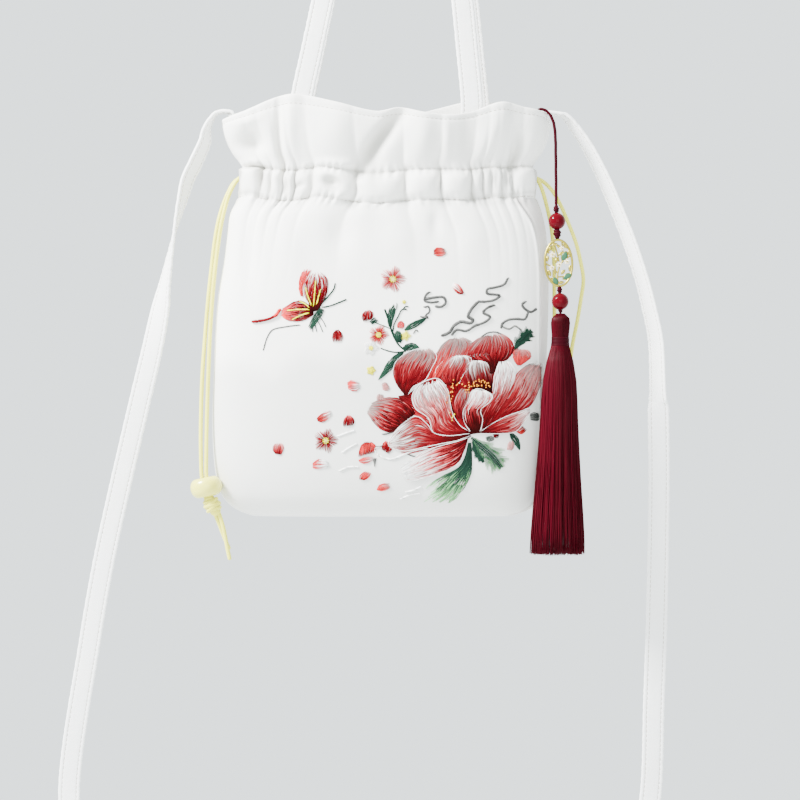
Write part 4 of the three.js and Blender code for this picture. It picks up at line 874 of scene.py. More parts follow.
def threads(name, paths, normals, widths, heights, colours):
    """Many short threads as one mesh. Each lies on its path as a low closed ridge."""
    paths, normals, colours = (np.asarray(a, float) for a in (paths, normals, colours))
    count, steps = paths.shape[:2]
    widths = np.broadcast_to(np.asarray(widths, float).reshape(-1, 1, 1), (count, 1, 1))
    heights = np.broadcast_to(np.asarray(heights, float).reshape(-1, 1, 1), (count, 1, 1))
    tangents = unit(np.gradient(paths, axis=1))
    sides = unit(np.cross(tangents, normals))
    taper = np.full(steps, 1.0)
    taper[0] = taper[-1] = THREAD_TIP
    reach = sides * widths / 2 * taper[None, :, None]
    lift = normals * heights * taper[None, :, None]
    foot = normals * heights * THREAD_FOOT
    ring = np.stack((paths - reach - foot, paths + lift, paths + reach - foot), axis=2)
    points = ring.reshape(-1, 3) * MM
    base = (np.arange(count) * steps * 3)[:, None, None]
    row = (np.arange(steps - 1) * 3)[None, :, None]
    corner = np.arange(3)[None, None, :]
    after = (corner + 1) % 3
    quads = np.stack((base + row + corner, base + row + after,
                      base + row + 3 + after, base + row + 3 + corner), axis=-1).reshape(-1, 4)
    start = base[:, 0, 0]
    ends = start + (steps - 1) * 3
    caps = np.vstack((np.stack((start + 2, start + 1, start), axis=1),
                      np.stack((ends, ends + 1, ends + 2), axis=1)))
    mesh = bpy.data.meshes.new(name)
    mesh.from_pydata(points.tolist(), [], quads.tolist() + caps.tolist())
    piece = add_object(name, mesh)
    paint(piece, "dye", np.repeat(colours.reshape(-1, 3), 3, axis=0))
    shape = bmesh.new()
    shape.from_mesh(mesh)
    bmesh.ops.recalc_face_normals(shape, faces=shape.faces)
    shape.to_mesh(mesh)
    shape.free()
    return piece


def spun_piece(name, profile, sides, place):
    """A solid of revolution of radius and height rows about Z, set in place."""

    def build(shape):
        verts = [shape.verts.new((radius * MM, 0, height * MM)) for radius, height in profile]
        edges = [shape.edges.new(pair) for pair in zip(verts, verts[1:])]
        bmesh.ops.spin(shape, geom=verts + edges, cent=(0, 0, 0), axis=(0, 0, 1),
                       angle=2 * math.pi, steps=sides, use_merge=True)
        bmesh.ops.remove_doubles(shape, verts=shape.verts, dist=WELD)
        bmesh.ops.recalc_face_normals(shape, faces=shape.faces)
        for vert in shape.verts:
            vert.co = place(vert.co)
    return finish_mesh(name, build)


def tone(colour):
    """Surface values that show a given sRGB colour in the bright room."""
    return tuple(float(np.interp(c, SHOWN, GIVEN)) for c in colour)


class PurseSizes(bpy.types.PropertyGroup):
    """Sizes of the fine work that the solids leave out."""

    seam_pitch: FloatProperty(
        name="Seam pitch", description="Length of one seam stitch and its gap",
        default=0.0028, min=0.001, unit="LENGTH", precision=4)
    seam_thread: FloatProperty(
        name="Seam thread", description="Width of the sewing thread",
        default=0.0005, min=0.0001, unit="LENGTH", precision=5)
    lane_step: FloatProperty(
        name="Silk spacing", description="Spacing of the silk threads in a petal",
        default=0.00034, min=0.0001, unit="LENGTH", precision=5)
    stitch_length: FloatProperty(
        name="Stitch length", description="Length of one long-and-short stitch",
        default=0.0062, min=0.001, unit="LENGTH", precision=4)
    drawcord: FloatProperty(
        name="Drawcord", description="Diameter of a drawcord",
        default=0.0024, min=0.0005, unit="LENGTH", precision=4)
    tassel_cord: FloatProperty(
        name="Tassel cord", description="Diameter of the tassel's cord",
        default=0.0019, min=0.0005, unit="LENGTH", precision=4)
    strands: IntProperty(
        name="Tassel strands", description="Number of strands in the skirt",
        default=1300, min=100)


class PurseColours(bpy.types.PropertyGroup):
    """Colours of the purse's cloths, cords and beads."""

    cloth: FloatVectorProperty(
        name="Cloth", description="White satin", subtype="COLOR", size=3,
        default=(0.91, 0.90, 0.855), min=0, max=1)
    # Grey cast of the lower front: partly a sheer organza layer, partly painted shade
    organza_and_shade: FloatVectorProperty(
        name="Organza", description="Grey cast of the lower front", subtype="COLOR", size=3,
        default=(0.70, 0.70, 0.665), min=0, max=1)
    # Painted shade in the creases between the gathers
    crease_shade: FloatVectorProperty(
        name="Creases", description="Cloth deep between the gathers", subtype="COLOR", size=3,
        default=(0.47, 0.46, 0.42), min=0, max=1)
    # Painted shade on the side panel past the seam, where the cloth turns away from the light
    side: FloatVectorProperty(
        name="Side", description="Side panel past the seam", subtype="COLOR", size=3,
        default=(0.60, 0.57, 0.54), min=0, max=1)
    band: FloatVectorProperty(
        name="Bands", description="Handles and strap", subtype="COLOR", size=3,
        default=(0.86, 0.86, 0.845), min=0, max=1)
    cord: FloatVectorProperty(
        name="Drawcords", description="Pale yellow cord", subtype="COLOR", size=3,
        default=tone((0.92, 0.915, 0.52)), min=0, max=1)
    bead: FloatVectorProperty(
        name="Cord beads", description="Cream bead", subtype="COLOR", size=3,
        default=tone((0.925, 0.92, 0.66)), min=0, max=1)
    silk: FloatVectorProperty(
        name="Silk", description="Crimson silk of the tassel", subtype="COLOR", size=3,
        default=(0.040, 0.0, 0.004), min=0, max=1)
    glass: FloatVectorProperty(
        name="Glass", description="Red glass of the round beads", subtype="COLOR", size=3,
        default=(0.062, 0.0, 0.003), min=0, max=1)
    gold: FloatVectorProperty(
        name="Charm", description="Pale gold of the charm", subtype="COLOR", size=3,
        default=(0.34, 0.28, 0.04), min=0, max=1)


def add_node(tree, kind, inputs=(), **settings):
    """A node with its settings made, and its inputs set or linked."""
    made = tree.nodes.new(kind)
    for key, value in settings.items():
        setattr(made, key, value)
    for key, value in dict(inputs).items():
        if isinstance(value, bpy.types.NodeSocket):
            tree.links.new(value, made.inputs[key])
        else:
            made.inputs[key].default_value = value
    return made


def grain_group():
    """Shared effect: fine crossed threads and a soft unevenness, as heights."""
    found = bpy.data.node_groups.get("Cloth grain")
    if found:
        return found
    group = bpy.data.node_groups.new("Cloth grain", "ShaderNodeTree")
    group.interface.new_socket("Threads", in_out="INPUT", socket_type="NodeSocketFloat")
    group.interface.new_socket("Height", in_out="OUTPUT", socket_type="NodeSocketFloat")
    group.interface.new_socket("Unevenness", in_out="OUTPUT", socket_type="NodeSocketFloat")
    given = group.nodes.new("NodeGroupInput")
    result = group.nodes.new("NodeGroupOutput")
    place = group.nodes.new("ShaderNodeTexCoord").outputs["Object"]
    warp, weft = (add_node(group, "ShaderNodeTexWave", {
        "Vector": place, "Scale": given.outputs["Threads"], "Distortion": 1.5, "Detail": 2.0,
        "Detail Scale": 0.3}, bands_direction=way) for way in "XZ")
    cross = add_node(group, "ShaderNodeMath", {
        0: warp.outputs["Fac"], 1: weft.outputs["Fac"]}, operation="MULTIPLY")
    soft = add_node(group, "ShaderNodeTexNoise", {
        "Vector": place, "Scale": 95.0, "Detail": 4.0, "Roughness": 0.6})
    group.links.new(cross.outputs[0], result.inputs["Height"])
    group.links.new(soft.outputs["Fac"], result.inputs["Unevenness"])
    return group


def shader_of(look):
    """The surface shader of a material."""
    return look.node_tree.nodes["Principled BSDF"]


def plain_look(name, colour, roughness, **sockets):
    """A material with one colour and the given constants on its shader."""
    look = bpy.data.materials.new(name)
    look.use_nodes = True
    shader = shader_of(look)
    shader.inputs["Base Color"].default_value = (*colour, 1)
    shader.inputs["Roughness"].default_value = roughness
    for key, value in sockets.items():
        shader.inputs[key.replace("_", " ")].default_value = value
    return look


def grained_look(name, colour, roughness, threads_per, depth, **sockets):
    """A cloth with fine threads in its surface."""
    look = plain_look(name, colour, roughness, **sockets)
    tree = look.node_tree
    grain = tree.nodes.new("ShaderNodeGroup")
    grain.node_tree = grain_group()
    grain.inputs["Threads"].default_value = threads_per
    bump = add_node(tree, "ShaderNodeBump", {
        "Strength": depth, "Distance": 0.0002, "Height": grain.outputs["Height"]})
    wide = add_node(tree, "ShaderNodeBump", {
        "Strength": depth, "Distance": 0.001, "Height": grain.outputs["Unevenness"],
        "Normal": bump.outputs["Normal"]})
    tree.links.new(wide.outputs["Normal"], shader_of(look).inputs["Normal"])
    return look


def pouch_look(colours):
    """White satin, grey low on the front from organza and painted shade, with painted shade on the side
    panel and in the creases.
    """
    look = grained_look("Pouch satin", colours.cloth, 0.62, 420.0, 0.22, Sheen_Weight=0.15)
    tree = look.node_tree
    # The tone attribute holds the grey cast low on the front in red, painted shade on the side panel in
    # green and painted shade in the creases in blue
    marks = add_node(tree, "ShaderNodeAttribute", attribute_name="tone")
    parts = add_node(tree, "ShaderNodeSeparateColor", {"Color": marks.outputs["Color"]})
    low = add_mix(tree, parts.outputs["Red"], (*colours.cloth, 1), colours.organza_and_shade)
    side = add_mix(tree, parts.outputs["Green"], low, colours.side)
    crease_shade = add_mix(tree, parts.outputs["Blue"], side, colours.crease_shade)
    tree.links.new(crease_shade, shader_of(look).inputs["Base Color"])
    return look


def add_mix(tree, factor, first, second):
    """The output of a mix from a first colour, linked or set, to a second one."""
    mix = add_node(tree, "ShaderNodeMix", {0: factor, 6: first, 7: (*second, 1)},
                   data_type="RGBA")
    return mix.outputs[2]


def dyed_look(name, attribute, roughness, **sockets):
    """A thread look that takes its colour from the mesh."""
    look = plain_look(name, (1, 1, 1), roughness, **sockets)
    tree = look.node_tree
    dye = add_node(tree, "ShaderNodeAttribute", attribute_name=attribute)
    tree.links.new(dye.outputs["Color"], shader_of(look).inputs["Base Color"])
    return look


def dress(piece, look, nodes=()):
    """A finished piece with its material and the solids it stands for."""
    piece.data.materials.clear()
    piece.data.materials.append(look)
    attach(piece, BODY)
    if nodes:
        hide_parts(*nodes)
    return piece


def paint(piece, name, values):
    """A colour attribute on the points of a piece."""
    mesh = piece.data
    layer = mesh.color_attributes.new(name, "FLOAT_COLOR", "POINT")
    shade = np.ones((len(mesh.vertices), 4), np.float32)
    shade[:, :values.shape[1]] = values
    layer.data.foreach_set("color", shade.ravel())


def points_of(piece):
    """Places of a piece's points in millimetres."""
    flat = np.zeros(len(piece.data.vertices) * 3)
    piece.data.vertices.foreach_get("co", flat)
    return flat.reshape(-1, 3) / MM


def join(name, pieces):
    """Several objects joined into one."""
    mesh = bpy.data.meshes.new(name)
    shape = bmesh.new()
    for piece in pieces:
        shape.from_mesh(piece.data)
    shape.to_mesh(mesh)
    shape.free()
    for piece in pieces:
        old = piece.data
        bpy.data.objects.remove(piece)
        bpy.data.meshes.remove(old)
    return add_object(name, mesh)


def pouch_rows():
    """Rows of the cloth from the middle of the bottom, over the rim, to the middle of the floor.

    Each row is its level, how far inside the outer face it lies, how closely it follows the
    folds, and its share of the way out from the middle.
    """
    rows = [(BASE_Z, 0.0, 1.0, share) for share in np.linspace(0.0, 0.94, 8)]
    side, shoulder, casing = BASE_Z + 26, -238, CASING_BOTTOM_Z - 4
    for foot, head, count in ((BASE_Z, side, 12), (side, shoulder, 36), (shoulder, casing, 22),
                              (casing, RIM_Z, 62)):
        rows += [(level, 0.0, 1.0, 1.0)
                 for level in np.linspace(foot, head, count, endpoint=False)]
    for turn in np.linspace(0, math.pi, 6):
        rows.append((RIM_Z + CLOTH_WALL / 2 * math.sin(turn),
                     CLOTH_WALL / 2 * (1 - math.cos(turn)),
                     1 - (1 - INNER_FOLLOW) * turn / math.pi, 1.0))
    floor, neck = BASE_Z + CLOTH_WALL, -214
    for head, foot, count in ((RIM_Z - 1, neck, 32), (neck, floor, 26)):
        rows += [(level, CLOTH_WALL, INNER_FOLLOW, 1.0)
                 for level in np.linspace(head, foot, count, endpoint=False)]
    rows += [(floor, CLOTH_WALL, INNER_FOLLOW, share) for share in np.linspace(1.0, 0.0, 6)]
    return np.array(rows)


def painted_crease_shade(x, z, across):
    """Painted shade in the creases between the gathers, by how deep the cloth lies there, from nought
    to one.
    """
    gather = section_at(z)[-1]
    level = z - sag_at(across, z) - NECK_RISE * across * across * gather
    near = np.exp(-(((level - CASING_MIDDLE_Z) / PAINTED_SHADE_REACH) ** 4))
    between = (1 - np.clip(roll_at(across) / max(ROLL_FULL), 0, 1)) ** 3
    depth = ROLL_PAINTED_SHADE * near * between
    for line in (CASING_TOP_Z, CASING_BOTTOM_Z):
        depth += STITCH_PAINTED_SHADE * bell(level - line, 1.1)
    share = (level - CASING_TOP_Z) / FRILL_HEIGHT
    depth += FRILL_PAINTED_SHADE * np.clip(-fold_at(across, share), 0, 1)
    depth += DENT_PAINTED_SHADE * near * np.clip(-dents_at(x, level) / DENT_DEPTH, 0, 1)
    return np.clip(depth, 0, 1)


def make_pouch(colours):
    """The doubled cloth of the bag, its gathered casing and its frill."""
    rows = pouch_rows()
    count = len(rows) - 1

    def place(u, v):
        share = np.where(u > 1 - 1e-6, 0.0, u)
        front = FRONT_COLUMNS
        turn = np.where(share < front, share / front * math.pi,
                        math.pi + (share - front) / (1 - front) * math.pi)
        across = powered(-np.cos(turn), 1.3)
        angle = np.where(turn <= math.pi, np.arccos(-across), 2 * math.pi - np.arccos(-across))
        row = rows[np.clip(np.round(v * count), 0, count).astype(int)]
        level, inset, follow, out = row.T
        point = cloth_points(angle, level, inset, follow)
        centre = along(LEVELS[0], LEVELS[3], level)
        point[:, 0] = centre + (point[:, 0] - centre) * out
        point[:, 1] = point[:, 1] * out
        return point

    pouch = finish_mesh("purse_cloth",
                        lambda shape: mapped_grid(shape, POUCH_COLUMNS, count, place))
    x, y, z = points_of(pouch).T
    # Grey cast low on the front: partly a sheer organza layer, partly painted shade
    edge = z + 5 * np.sin(x / 17) + 3 * np.sin(x / 6 + 1)
    low = ramp(GREY_FROM_Z, GREY_FULL_Z, edge) * ramp(0, -4, y)
    across = across_at(x, z)
    # Painted shade on the side panel past the seam
    past = across - along(SEAM_KEYS, SEAM_PLACES, z)
    side = ramp(-0.003, 0.006, past) * (z < CASING_BOTTOM_Z + 2) * (y < 30)
    # The tone attribute: grey cast low on the front, painted shade on the side panel, painted shade in
    # the creases
    paint(pouch, "tone", np.stack((low, side, painted_crease_shade(x, z, across)), axis=1))
    return dress(pouch, pouch_look(colours), ["pouch"])


def band_frames(route, steps):
    """Centre line of a band, its flat side's direction and its face's direction."""
    route = np.asarray(route, float)
    path = even_path(route, steps)
    centre, turn = path[:, :3], np.radians(path[:, 3])
    tangents = unit(np.gradient(centre, axis=0))
    side = np.stack((np.cos(turn), np.sin(turn), np.zeros(len(turn))), axis=1)
    side = unit(side - tangents * np.sum(side * tangents, axis=1, keepdims=True))
    return centre, side, np.cross(side, tangents)


def band_puckers(run, share):
    """How far the sewn edges of a band are drawn up along it."""
    wave = np.sin(run * 1.05 + 1.4 * np.sin(run * 0.23)) + 0.6 * np.sin(run * 1.9 + share)
    return wave * np.abs(share) ** 1.5


def make_band(node, route, steps, look):
    """A folded and topstitched band of cloth."""
    centre, side, face = band_frames(route, steps)
    run = distance_along(centre)
    profile = np.array(BAND_PROFILE)
    ring = np.vstack((profile, [(1.0, 0.0)], profile[1:-1][::-1] * (1, -1), profile[:1]))
    last = len(ring) - 1

    def place(u, v):
        row = np.clip(np.round(u * (steps - 1)), 0, steps - 1).astype(int)
        share, height = ring[np.clip(np.round(v * last), 0, last).astype(int)].T
        drawn = band_puckers(run[row], share)
        wide = share * BAND_WIDTH / 2 + PUCKER_SIDEWAYS * drawn * np.sign(share)
        thick = height * BAND_THICKNESS / 2 + PUCKER_UP * drawn
        return centre[row] + side[row] * wide[:, None] + face[row] * thick[:, None]

    band = finish_mesh(f"{node}_folded",
                       lambda shape: mapped_grid(shape, steps - 1, last, place, caps=True))
    return dress(band, look, [node])


def band_seams(route, steps, pitch):
    """Stitches along both edges and both faces of a band."""
    centre, side, face = band_frames(route, steps)
    run = distance_along(centre)
    starts = np.arange(1.5, run[-1] - pitch, pitch)
    at = starts[:, None] + np.linspace(0, pitch * 0.72, 4)[None]
    middle, across, out = (read_along(at, run, table) for table in (centre, side, face))
    across, out = unit(across), unit(out)
    paths, normals = [], []
    for edge in (-BAND_SEAM, BAND_SEAM):
        drawn = band_puckers(at, edge)[..., None]
        for way in (-1, 1):
            paths.append(middle + across * edge * BAND_WIDTH / 2
                         + out * (way * BAND_THICKNESS / 2 * SEAM_BED + PUCKER_UP * drawn))
            normals.append(out * way)
    return np.concatenate(paths), np.concatenate(normals)


def make_stitching(sizes):
    """Topstitching of the bands, the rim and the casing."""
    pitch, thread = sizes.seam_pitch / MM, sizes.seam_thread / MM
    paths, normals = [], []
    for _, route, steps in BANDS:
        path, normal = band_seams(route, steps, pitch)
        paths.append(path)
        normals.append(normal)
    for level in (CASING_TOP_Z, CASING_BOTTOM_Z, RIM_SEAM_Z):
        angle = np.linspace(0, 2 * math.pi, 4000)
        run = distance_along(cloth_points(angle, level))
        starts = np.arange(0, run[-1] - pitch, pitch)
        at = np.interp(starts[:, None] + np.linspace(0, pitch * 0.7, 4)[None], run, angle)
        here = cloth_points(at, level)
        ahead = cloth_points(at + 0.002, level) - cloth_points(at - 0.002, level)
        up = cloth_points(at, level + 0.5) - cloth_points(at, level - 0.5)
        out = unit(np.cross(ahead, up))
        paths.append(here + out * 0.12)
        normals.append(out)
    paths, normals = np.concatenate(paths), np.concatenate(normals)
    shade = np.broadcast_to(tone((0.88, 0.87, 0.85)), (len(paths), 4, 3))
    piece = threads("seam_stitching", paths, normals, thread, thread * 0.5, shade)
    return dress(piece, dyed_look("Seam thread", "dye", 0.6))


def make_drawcords(sizes, colours):
    """The four strands of the two drawcords."""
    look = plain_look("Yellow cord", colours.cord, 0.5, Sheen_Weight=0.3)
    made = {}
    for name, route in DRAWCORD_ROUTES.items():
        path = np.array(route) / MM
        cord = tube_piece(name + "_strand", path, sizes.drawcord / MM / 2, 14, 0.03, 0.5)
        made[name] = (dress(cord, look, [name]), route)
    return made


def route_length(route):
    """Length of a smooth curve through a route's points."""
    return float(distance_along(smooth_path(route, 12))[-1])


def make_cord_ends(colours):
    """The cream bead and the wrapped knot on each pair of strands."""
    cream = plain_look("Cream bead", colours.bead, 0.28, Coat_Weight=0.5, Coat_Roughness=0.15)
    yellow = bpy.data.materials["Yellow cord"]
    made = {}
    for side, bead_place, tilt, knot_place, lean in CORD_ENDS:
        turn = np.array(((math.cos(math.radians(tilt)), 0, math.sin(math.radians(tilt))),
                         (0, 1, 0),
                         (-math.sin(math.radians(tilt)), 0, math.cos(math.radians(tilt)))))
        bore, half, end = CORD_BEAD_BORE, CORD_BEAD_HALF, math.pi * 0.42
        wall = CORD_BEAD_RADIUS - bore - 0.4
        profile = [(bore, -half * 0.72), (bore, half * 0.72)]
        for step in np.linspace(end, -end, 17):
            profile.append((bore + 0.4 + wall * math.cos(step) ** 0.75,
                            half * math.sin(step) / math.sin(end)))
        profile.append(profile[0])

        def put(co, turn=turn, centre=np.array(bead_place)):
            return turn @ np.array(co) + centre * MM

        bead = spun_piece(f"cord_bead_{side}_round", profile, 48, put)
        made[side] = [dress(bead, cream, [f"cord_bead_{side}"])]
        knot = make_knot(f"cord_knot_{side}_wrapped", knot_place, lean, KNOT_RADIUS,
                         KNOT_HEIGHT, KNOT_WIRE, KNOT_WRAPS)
        made[side].append(dress(knot, yellow, [f"cord_knot_{side}"]))
    return made


def make_knot(name, top, lean, radius, height, wire, wraps):
    """A knot of cord wrapped round itself, hanging from a point and leaning in the picture."""
    slope = math.radians(lean)
    down = np.array((math.sin(slope), 0, -math.cos(slope)))
    across = np.array((math.cos(slope), 0, math.sin(slope)))
    depth = np.array((0.0, 1.0, 0.0))
    top = np.array(top, float)
    coils = []
    for wrap in range(wraps):
        share = (wrap + 0.5) / wraps
        size = (radius - wire) * (0.72 + 0.28 * math.sin(math.pi * share))
        angle = np.linspace(0, 2 * math.pi, 25)
        tilt = 0.24 * (-1) ** wrap
        ring = (top + down * (wire + share * (height - 2 * wire))
                + np.cos(angle)[:, None] * (across * size + down * size * tilt)
                + np.sin(angle)[:, None] * depth * size * 0.95)
        coils.append(tube_piece(f"{name}_{wrap}", ring, wire, 10, parts=2))
    core = smooth_path([top + down * height * at for at in (0.06, 0.35, 0.65, 0.94)], 4)
    coils.append(tube_piece(f"{name}_core", core, radius * 0.62, 12, parts=1))
    return join(name, coils)


def pendant_point(drop):
    """A point of the pendant's line, some way down it."""
    return np.array(PENDANT_TOP) + np.array(PENDANT_LEAN) * drop


def make_tassel_cord(sizes, colours):
    """The dark red cord that the pendant hangs from."""
    look = plain_look("Red cord", tuple(c * 0.6 for c in colours.silk), 0.55,
                      Specular_IOR_Level=0.05)
    path = np.array(TASSEL_CORD_ROUTE) / MM
    cord = tube_piece("tassel_cord_strand", path, sizes.tassel_cord / MM / 2, 14, 0.06, 1.1)
    return dress(cord, look, ["tassel_cord"])


def make_pendant_threads():
    """The knotted thread above the charm and the one below it."""
    look = bpy.data.materials["Red cord"]
    for name, start, stop, knots in PENDANT_THREADS:
        line = [pendant_point(drop) for drop in np.linspace(start, stop, 5)]
        parts = [tube_piece(f"thread_{name}", np.array(line), 0.8, 12, 0.06, 1.1)]
        for number, (drop, radius) in enumerate(knots):
            parts.append(make_knot(f"thread_{name}_{number}", pendant_point(drop - radius), 0,
                                   radius, radius * 2, radius * 0.4, 3))
        thread = join(f"tassel_thread_{name}_knotted", parts)
        dress(thread, look, [f"tassel_thread_{name}"])


def make_glass_beads(colours):
    """The two round red beads."""
    look = plain_look("Red glass", colours.glass, 0.12, Specular_IOR_Level=0.07)
    bore, radius = GLASS_BORE / 2, GLASS_BEAD / 2 - 0.05
    start = math.asin(bore / radius)
    for name, drop in (("upper", UPPER_BEAD_DROP), ("lower", LOWER_BEAD_DROP)):
        steps = np.linspace(start, math.pi - start, 30)
        profile = [(radius * math.sin(step), radius * math.cos(step)) for step in steps]
        profile.append(profile[0])
        centre = pendant_point(drop)

        def put(co, centre=centre):
            return np.array(co) + centre * MM

        bead = spun_piece(f"tassel_bead_{name}_glass", profile, 48, put)
        dress(bead, look, [f"tassel_bead_{name}"])


def charm_point(side, rise, out=0.0):
    """A place on the charm from shares of half its width and height, in millimetres."""
    down = np.array(PENDANT_LEAN) / np.linalg.norm(PENDANT_LEAN)
    right = np.array((1.0, 0.0, PENDANT_LEAN[0]))
    front = unit(np.cross(right, -down))
    side, rise, out = (np.asarray(a, float)[..., None] for a in (side, rise, out))
    half_width = (CHARM_WIDTH - CHARM_WIRE) / 2
    half_height = (CHARM_HEIGHT - CHARM_WIRE) / 2
    return (pendant_point(CHARM_DROP) + right * side * half_width - down * rise * half_height
            + front * out)


def oval(name, side, rise, length, width, turn, out, thick):
    """A small domed oval on the charm, turned in its plane."""

    def build(shape):
        made = bmesh.ops.create_uvsphere(shape, u_segments=14, v_segments=8, radius=1.0)
        angle = math.radians(turn)
        centre = charm_point(side, rise, out)
        for vert in made["verts"]:
            along_leaf, across_leaf, height = vert.co
            taper = 1 - 0.45 * along_leaf ** 2
            x = along_leaf * length / 2
            y = across_leaf * width / 2 * taper
            flat = np.array((x * math.cos(angle) - y * math.sin(angle), -height * thick,
                             x * math.sin(angle) + y * math.cos(angle)))
            vert.co = (centre + flat) * MM
        bmesh.ops.recalc_face_normals(shape, faces=shape.faces)
    return finish_mesh(name, build)


def make_charm(colours):
    """The openwork charm: an oval of wire, branches in it, enamel leaves and blossoms."""
    gold = plain_look("Pale gold", colours.gold, 0.3, Metallic=1.0)
    green = plain_look("Green enamel", tone((0.28, 0.62, 0.46)), 0.3, Specular_IOR_Level=0.3)
    white = plain_look("White enamel", tone((0.93, 0.91, 0.86)), 0.25, Coat_Weight=0.6)
    angle = np.linspace(0, 2 * math.pi, 65)
    parts = [tube_piece("frame", charm_point(np.sin(angle), np.cos(angle)), CHARM_WIRE / 2, 12,
                        parts=1)]
    for number, branch in enumerate(CHARM_BRANCHES):
        side, rise = even_path(branch, 16).T
        parts.append(tube_piece(f"branch_{number}", charm_point(side, rise), 0.5, 10, parts=1))
    for number, (side, rise, size) in enumerate(CHARM_BLOSSOMS):
        heart = size * CHARM_HEART
        parts.append(oval(f"heart_{number}", side, rise, heart, heart, 0, 0.75, 0.5))
    for number, (side, rise, length, turn) in enumerate(CHARM_LEAVES):
        long, wide = (length * part for part in CHARM_BED)
        parts.append(oval(f"bed_{number}", side, rise, long, wide, turn, 0.2, 0.3))
    for number, (side, rise, length, turn) in enumerate(CHARM_SPRAYS):
        parts.append(oval(f"spray_{number}", side, rise, length, length * 0.5, turn, 0.2, 0.45))
    charm = dress(join("charm_openwork", parts), gold, ["charm"])
    leaves = []
    for number, (side, rise, length, turn) in enumerate(CHARM_LEAVES):
        long, wide = (length * part for part in CHARM_LEAF)
        leaves.append(oval(f"leaf_{number}", side, rise, long, wide, turn, 0.6, 0.45))
    dress(join("charm_leaves", leaves), green)
    petals = []
    for number, (side, rise, size) in enumerate(CHARM_BLOSSOMS):
        long, wide = (size * part for part in CHARM_PETAL)
        for petal in range(PETALS):
            turn = 360 / PETALS * petal + 18
            reach = size * 0.62
            petals.append(oval(f"petal_{number}_{petal}",
                               side + reach * math.cos(math.radians(turn)),
                               rise + reach * 0.58 * math.sin(math.radians(turn)),
                               long, wide, turn, 0.55, 0.3))
    dress(join("charm_blossoms", petals), white)
    return charm


def tassel_point(angle, radius, drop):
    """A place round the tassel's line. radius and drop are millimetres."""
    foot = pendant_point(PENDANT_HEIGHT)
    way = np.array(TASSEL_LEAN)
    out = np.stack((radius * np.cos(angle), radius * np.sin(angle) * TASSEL_FLATNESS,
                    np.zeros_like(radius)), axis=-1)
    return foot + way * np.asarray(drop)[..., None] + out


def tassel_radius(drop):
    """Outer radius of the tassel some way down."""
    at, radius = np.array(TASSEL_HEAD).T
    skirt_at, skirt_radius = np.array(TASSEL_SKIRT).T
    keys = np.concatenate((at * TASSEL_HEAD_HEIGHT,
                           TASSEL_HEAD_HEIGHT + skirt_at * TASSEL_SKIRT_HEIGHT))
    sizes = np.concatenate((radius * TASSEL_HEAD_DIAMETER / 2,
                            skirt_radius * TASSEL_SKIRT_DIAMETER / 2))
    return along(keys, sizes, drop)


def make_tassel(sizes, colours):
    """The silk tassel: its core, its strands and its wrapped head."""
    total = TASSEL_HEAD_HEIGHT + TASSEL_SKIRT_HEIGHT
    random = np.random.default_rng(11)
    # The core is the tassel's silk darkened: painted shade between the strands
    dark = plain_look("Silk core", tuple(c * 0.35 for c in colours.silk), 0.7)

    def place(u, v):
        drop = u * (total - 3)
        shut = np.clip(np.minimum(u, 1 - u) * 60, 0, 1)
        radius = tassel_radius(drop) * CORE_SHARE * np.sqrt(shut)
        return tassel_point(2 * math.pi * v, radius, drop)

    core = finish_mesh("tassel_core", lambda shape: mapped_grid(shape, 80, 40, place))
    dress(core, dark, ["tassel"])
    count = sizes.strands
    angle = random.uniform(0, 2 * math.pi, count)
    depth = 1 - 0.5 * random.random(count) ** 1.8
    ends = total - random.gamma(1.5, 1.2, count).clip(0, 9)
    share = np.linspace(0, 1, STRAND_ROWS)[None]
    start = TASSEL_HEAD_HEIGHT - STRAND_LAP
    drop = start + (ends[:, None] - start) * share
    lock = 0.05 * np.sin(angle * TASSEL_LOCKS) + 0.03 * np.sin(angle * 5 + 1)
    sway = random.normal(0, 0.05, (count, 1)) * share + lock[:, None] * share ** 0.5
    wave = 0.02 * np.sin(share * 9 + random.uniform(0, 6, (count, 1)))
    turn = angle[:, None] + sway + wave
    dip = np.cos(angle * TASSEL_LOCKS)[:, None] - 1
    groove = 1 + 0.07 * dip * np.sin(np.pi * share * 0.5)
    radius = tassel_radius(drop) * depth[:, None] * groove
    paths = tassel_point(turn, radius, drop)
    normals = np.stack((np.cos(turn), np.sin(turn), np.zeros_like(turn)), axis=-1)
    tint = 1 + random.normal(0, 0.16, (count, 1, 1))
    shade = np.array(colours.silk) * np.broadcast_to(tint, (count, STRAND_ROWS, 1))
    skirt = threads("tassel_strands", paths, normals, random.uniform(0.5, 0.85, count),
                    random.uniform(0.25, 0.4, count), shade.clip(0.001, 1))
    silk = dyed_look("Tassel silk", "dye", 0.42, Specular_IOR_Level=0.04, Anisotropic=0.5)
    dress(skirt, silk)
    make_tassel_head(silk, colours, random)


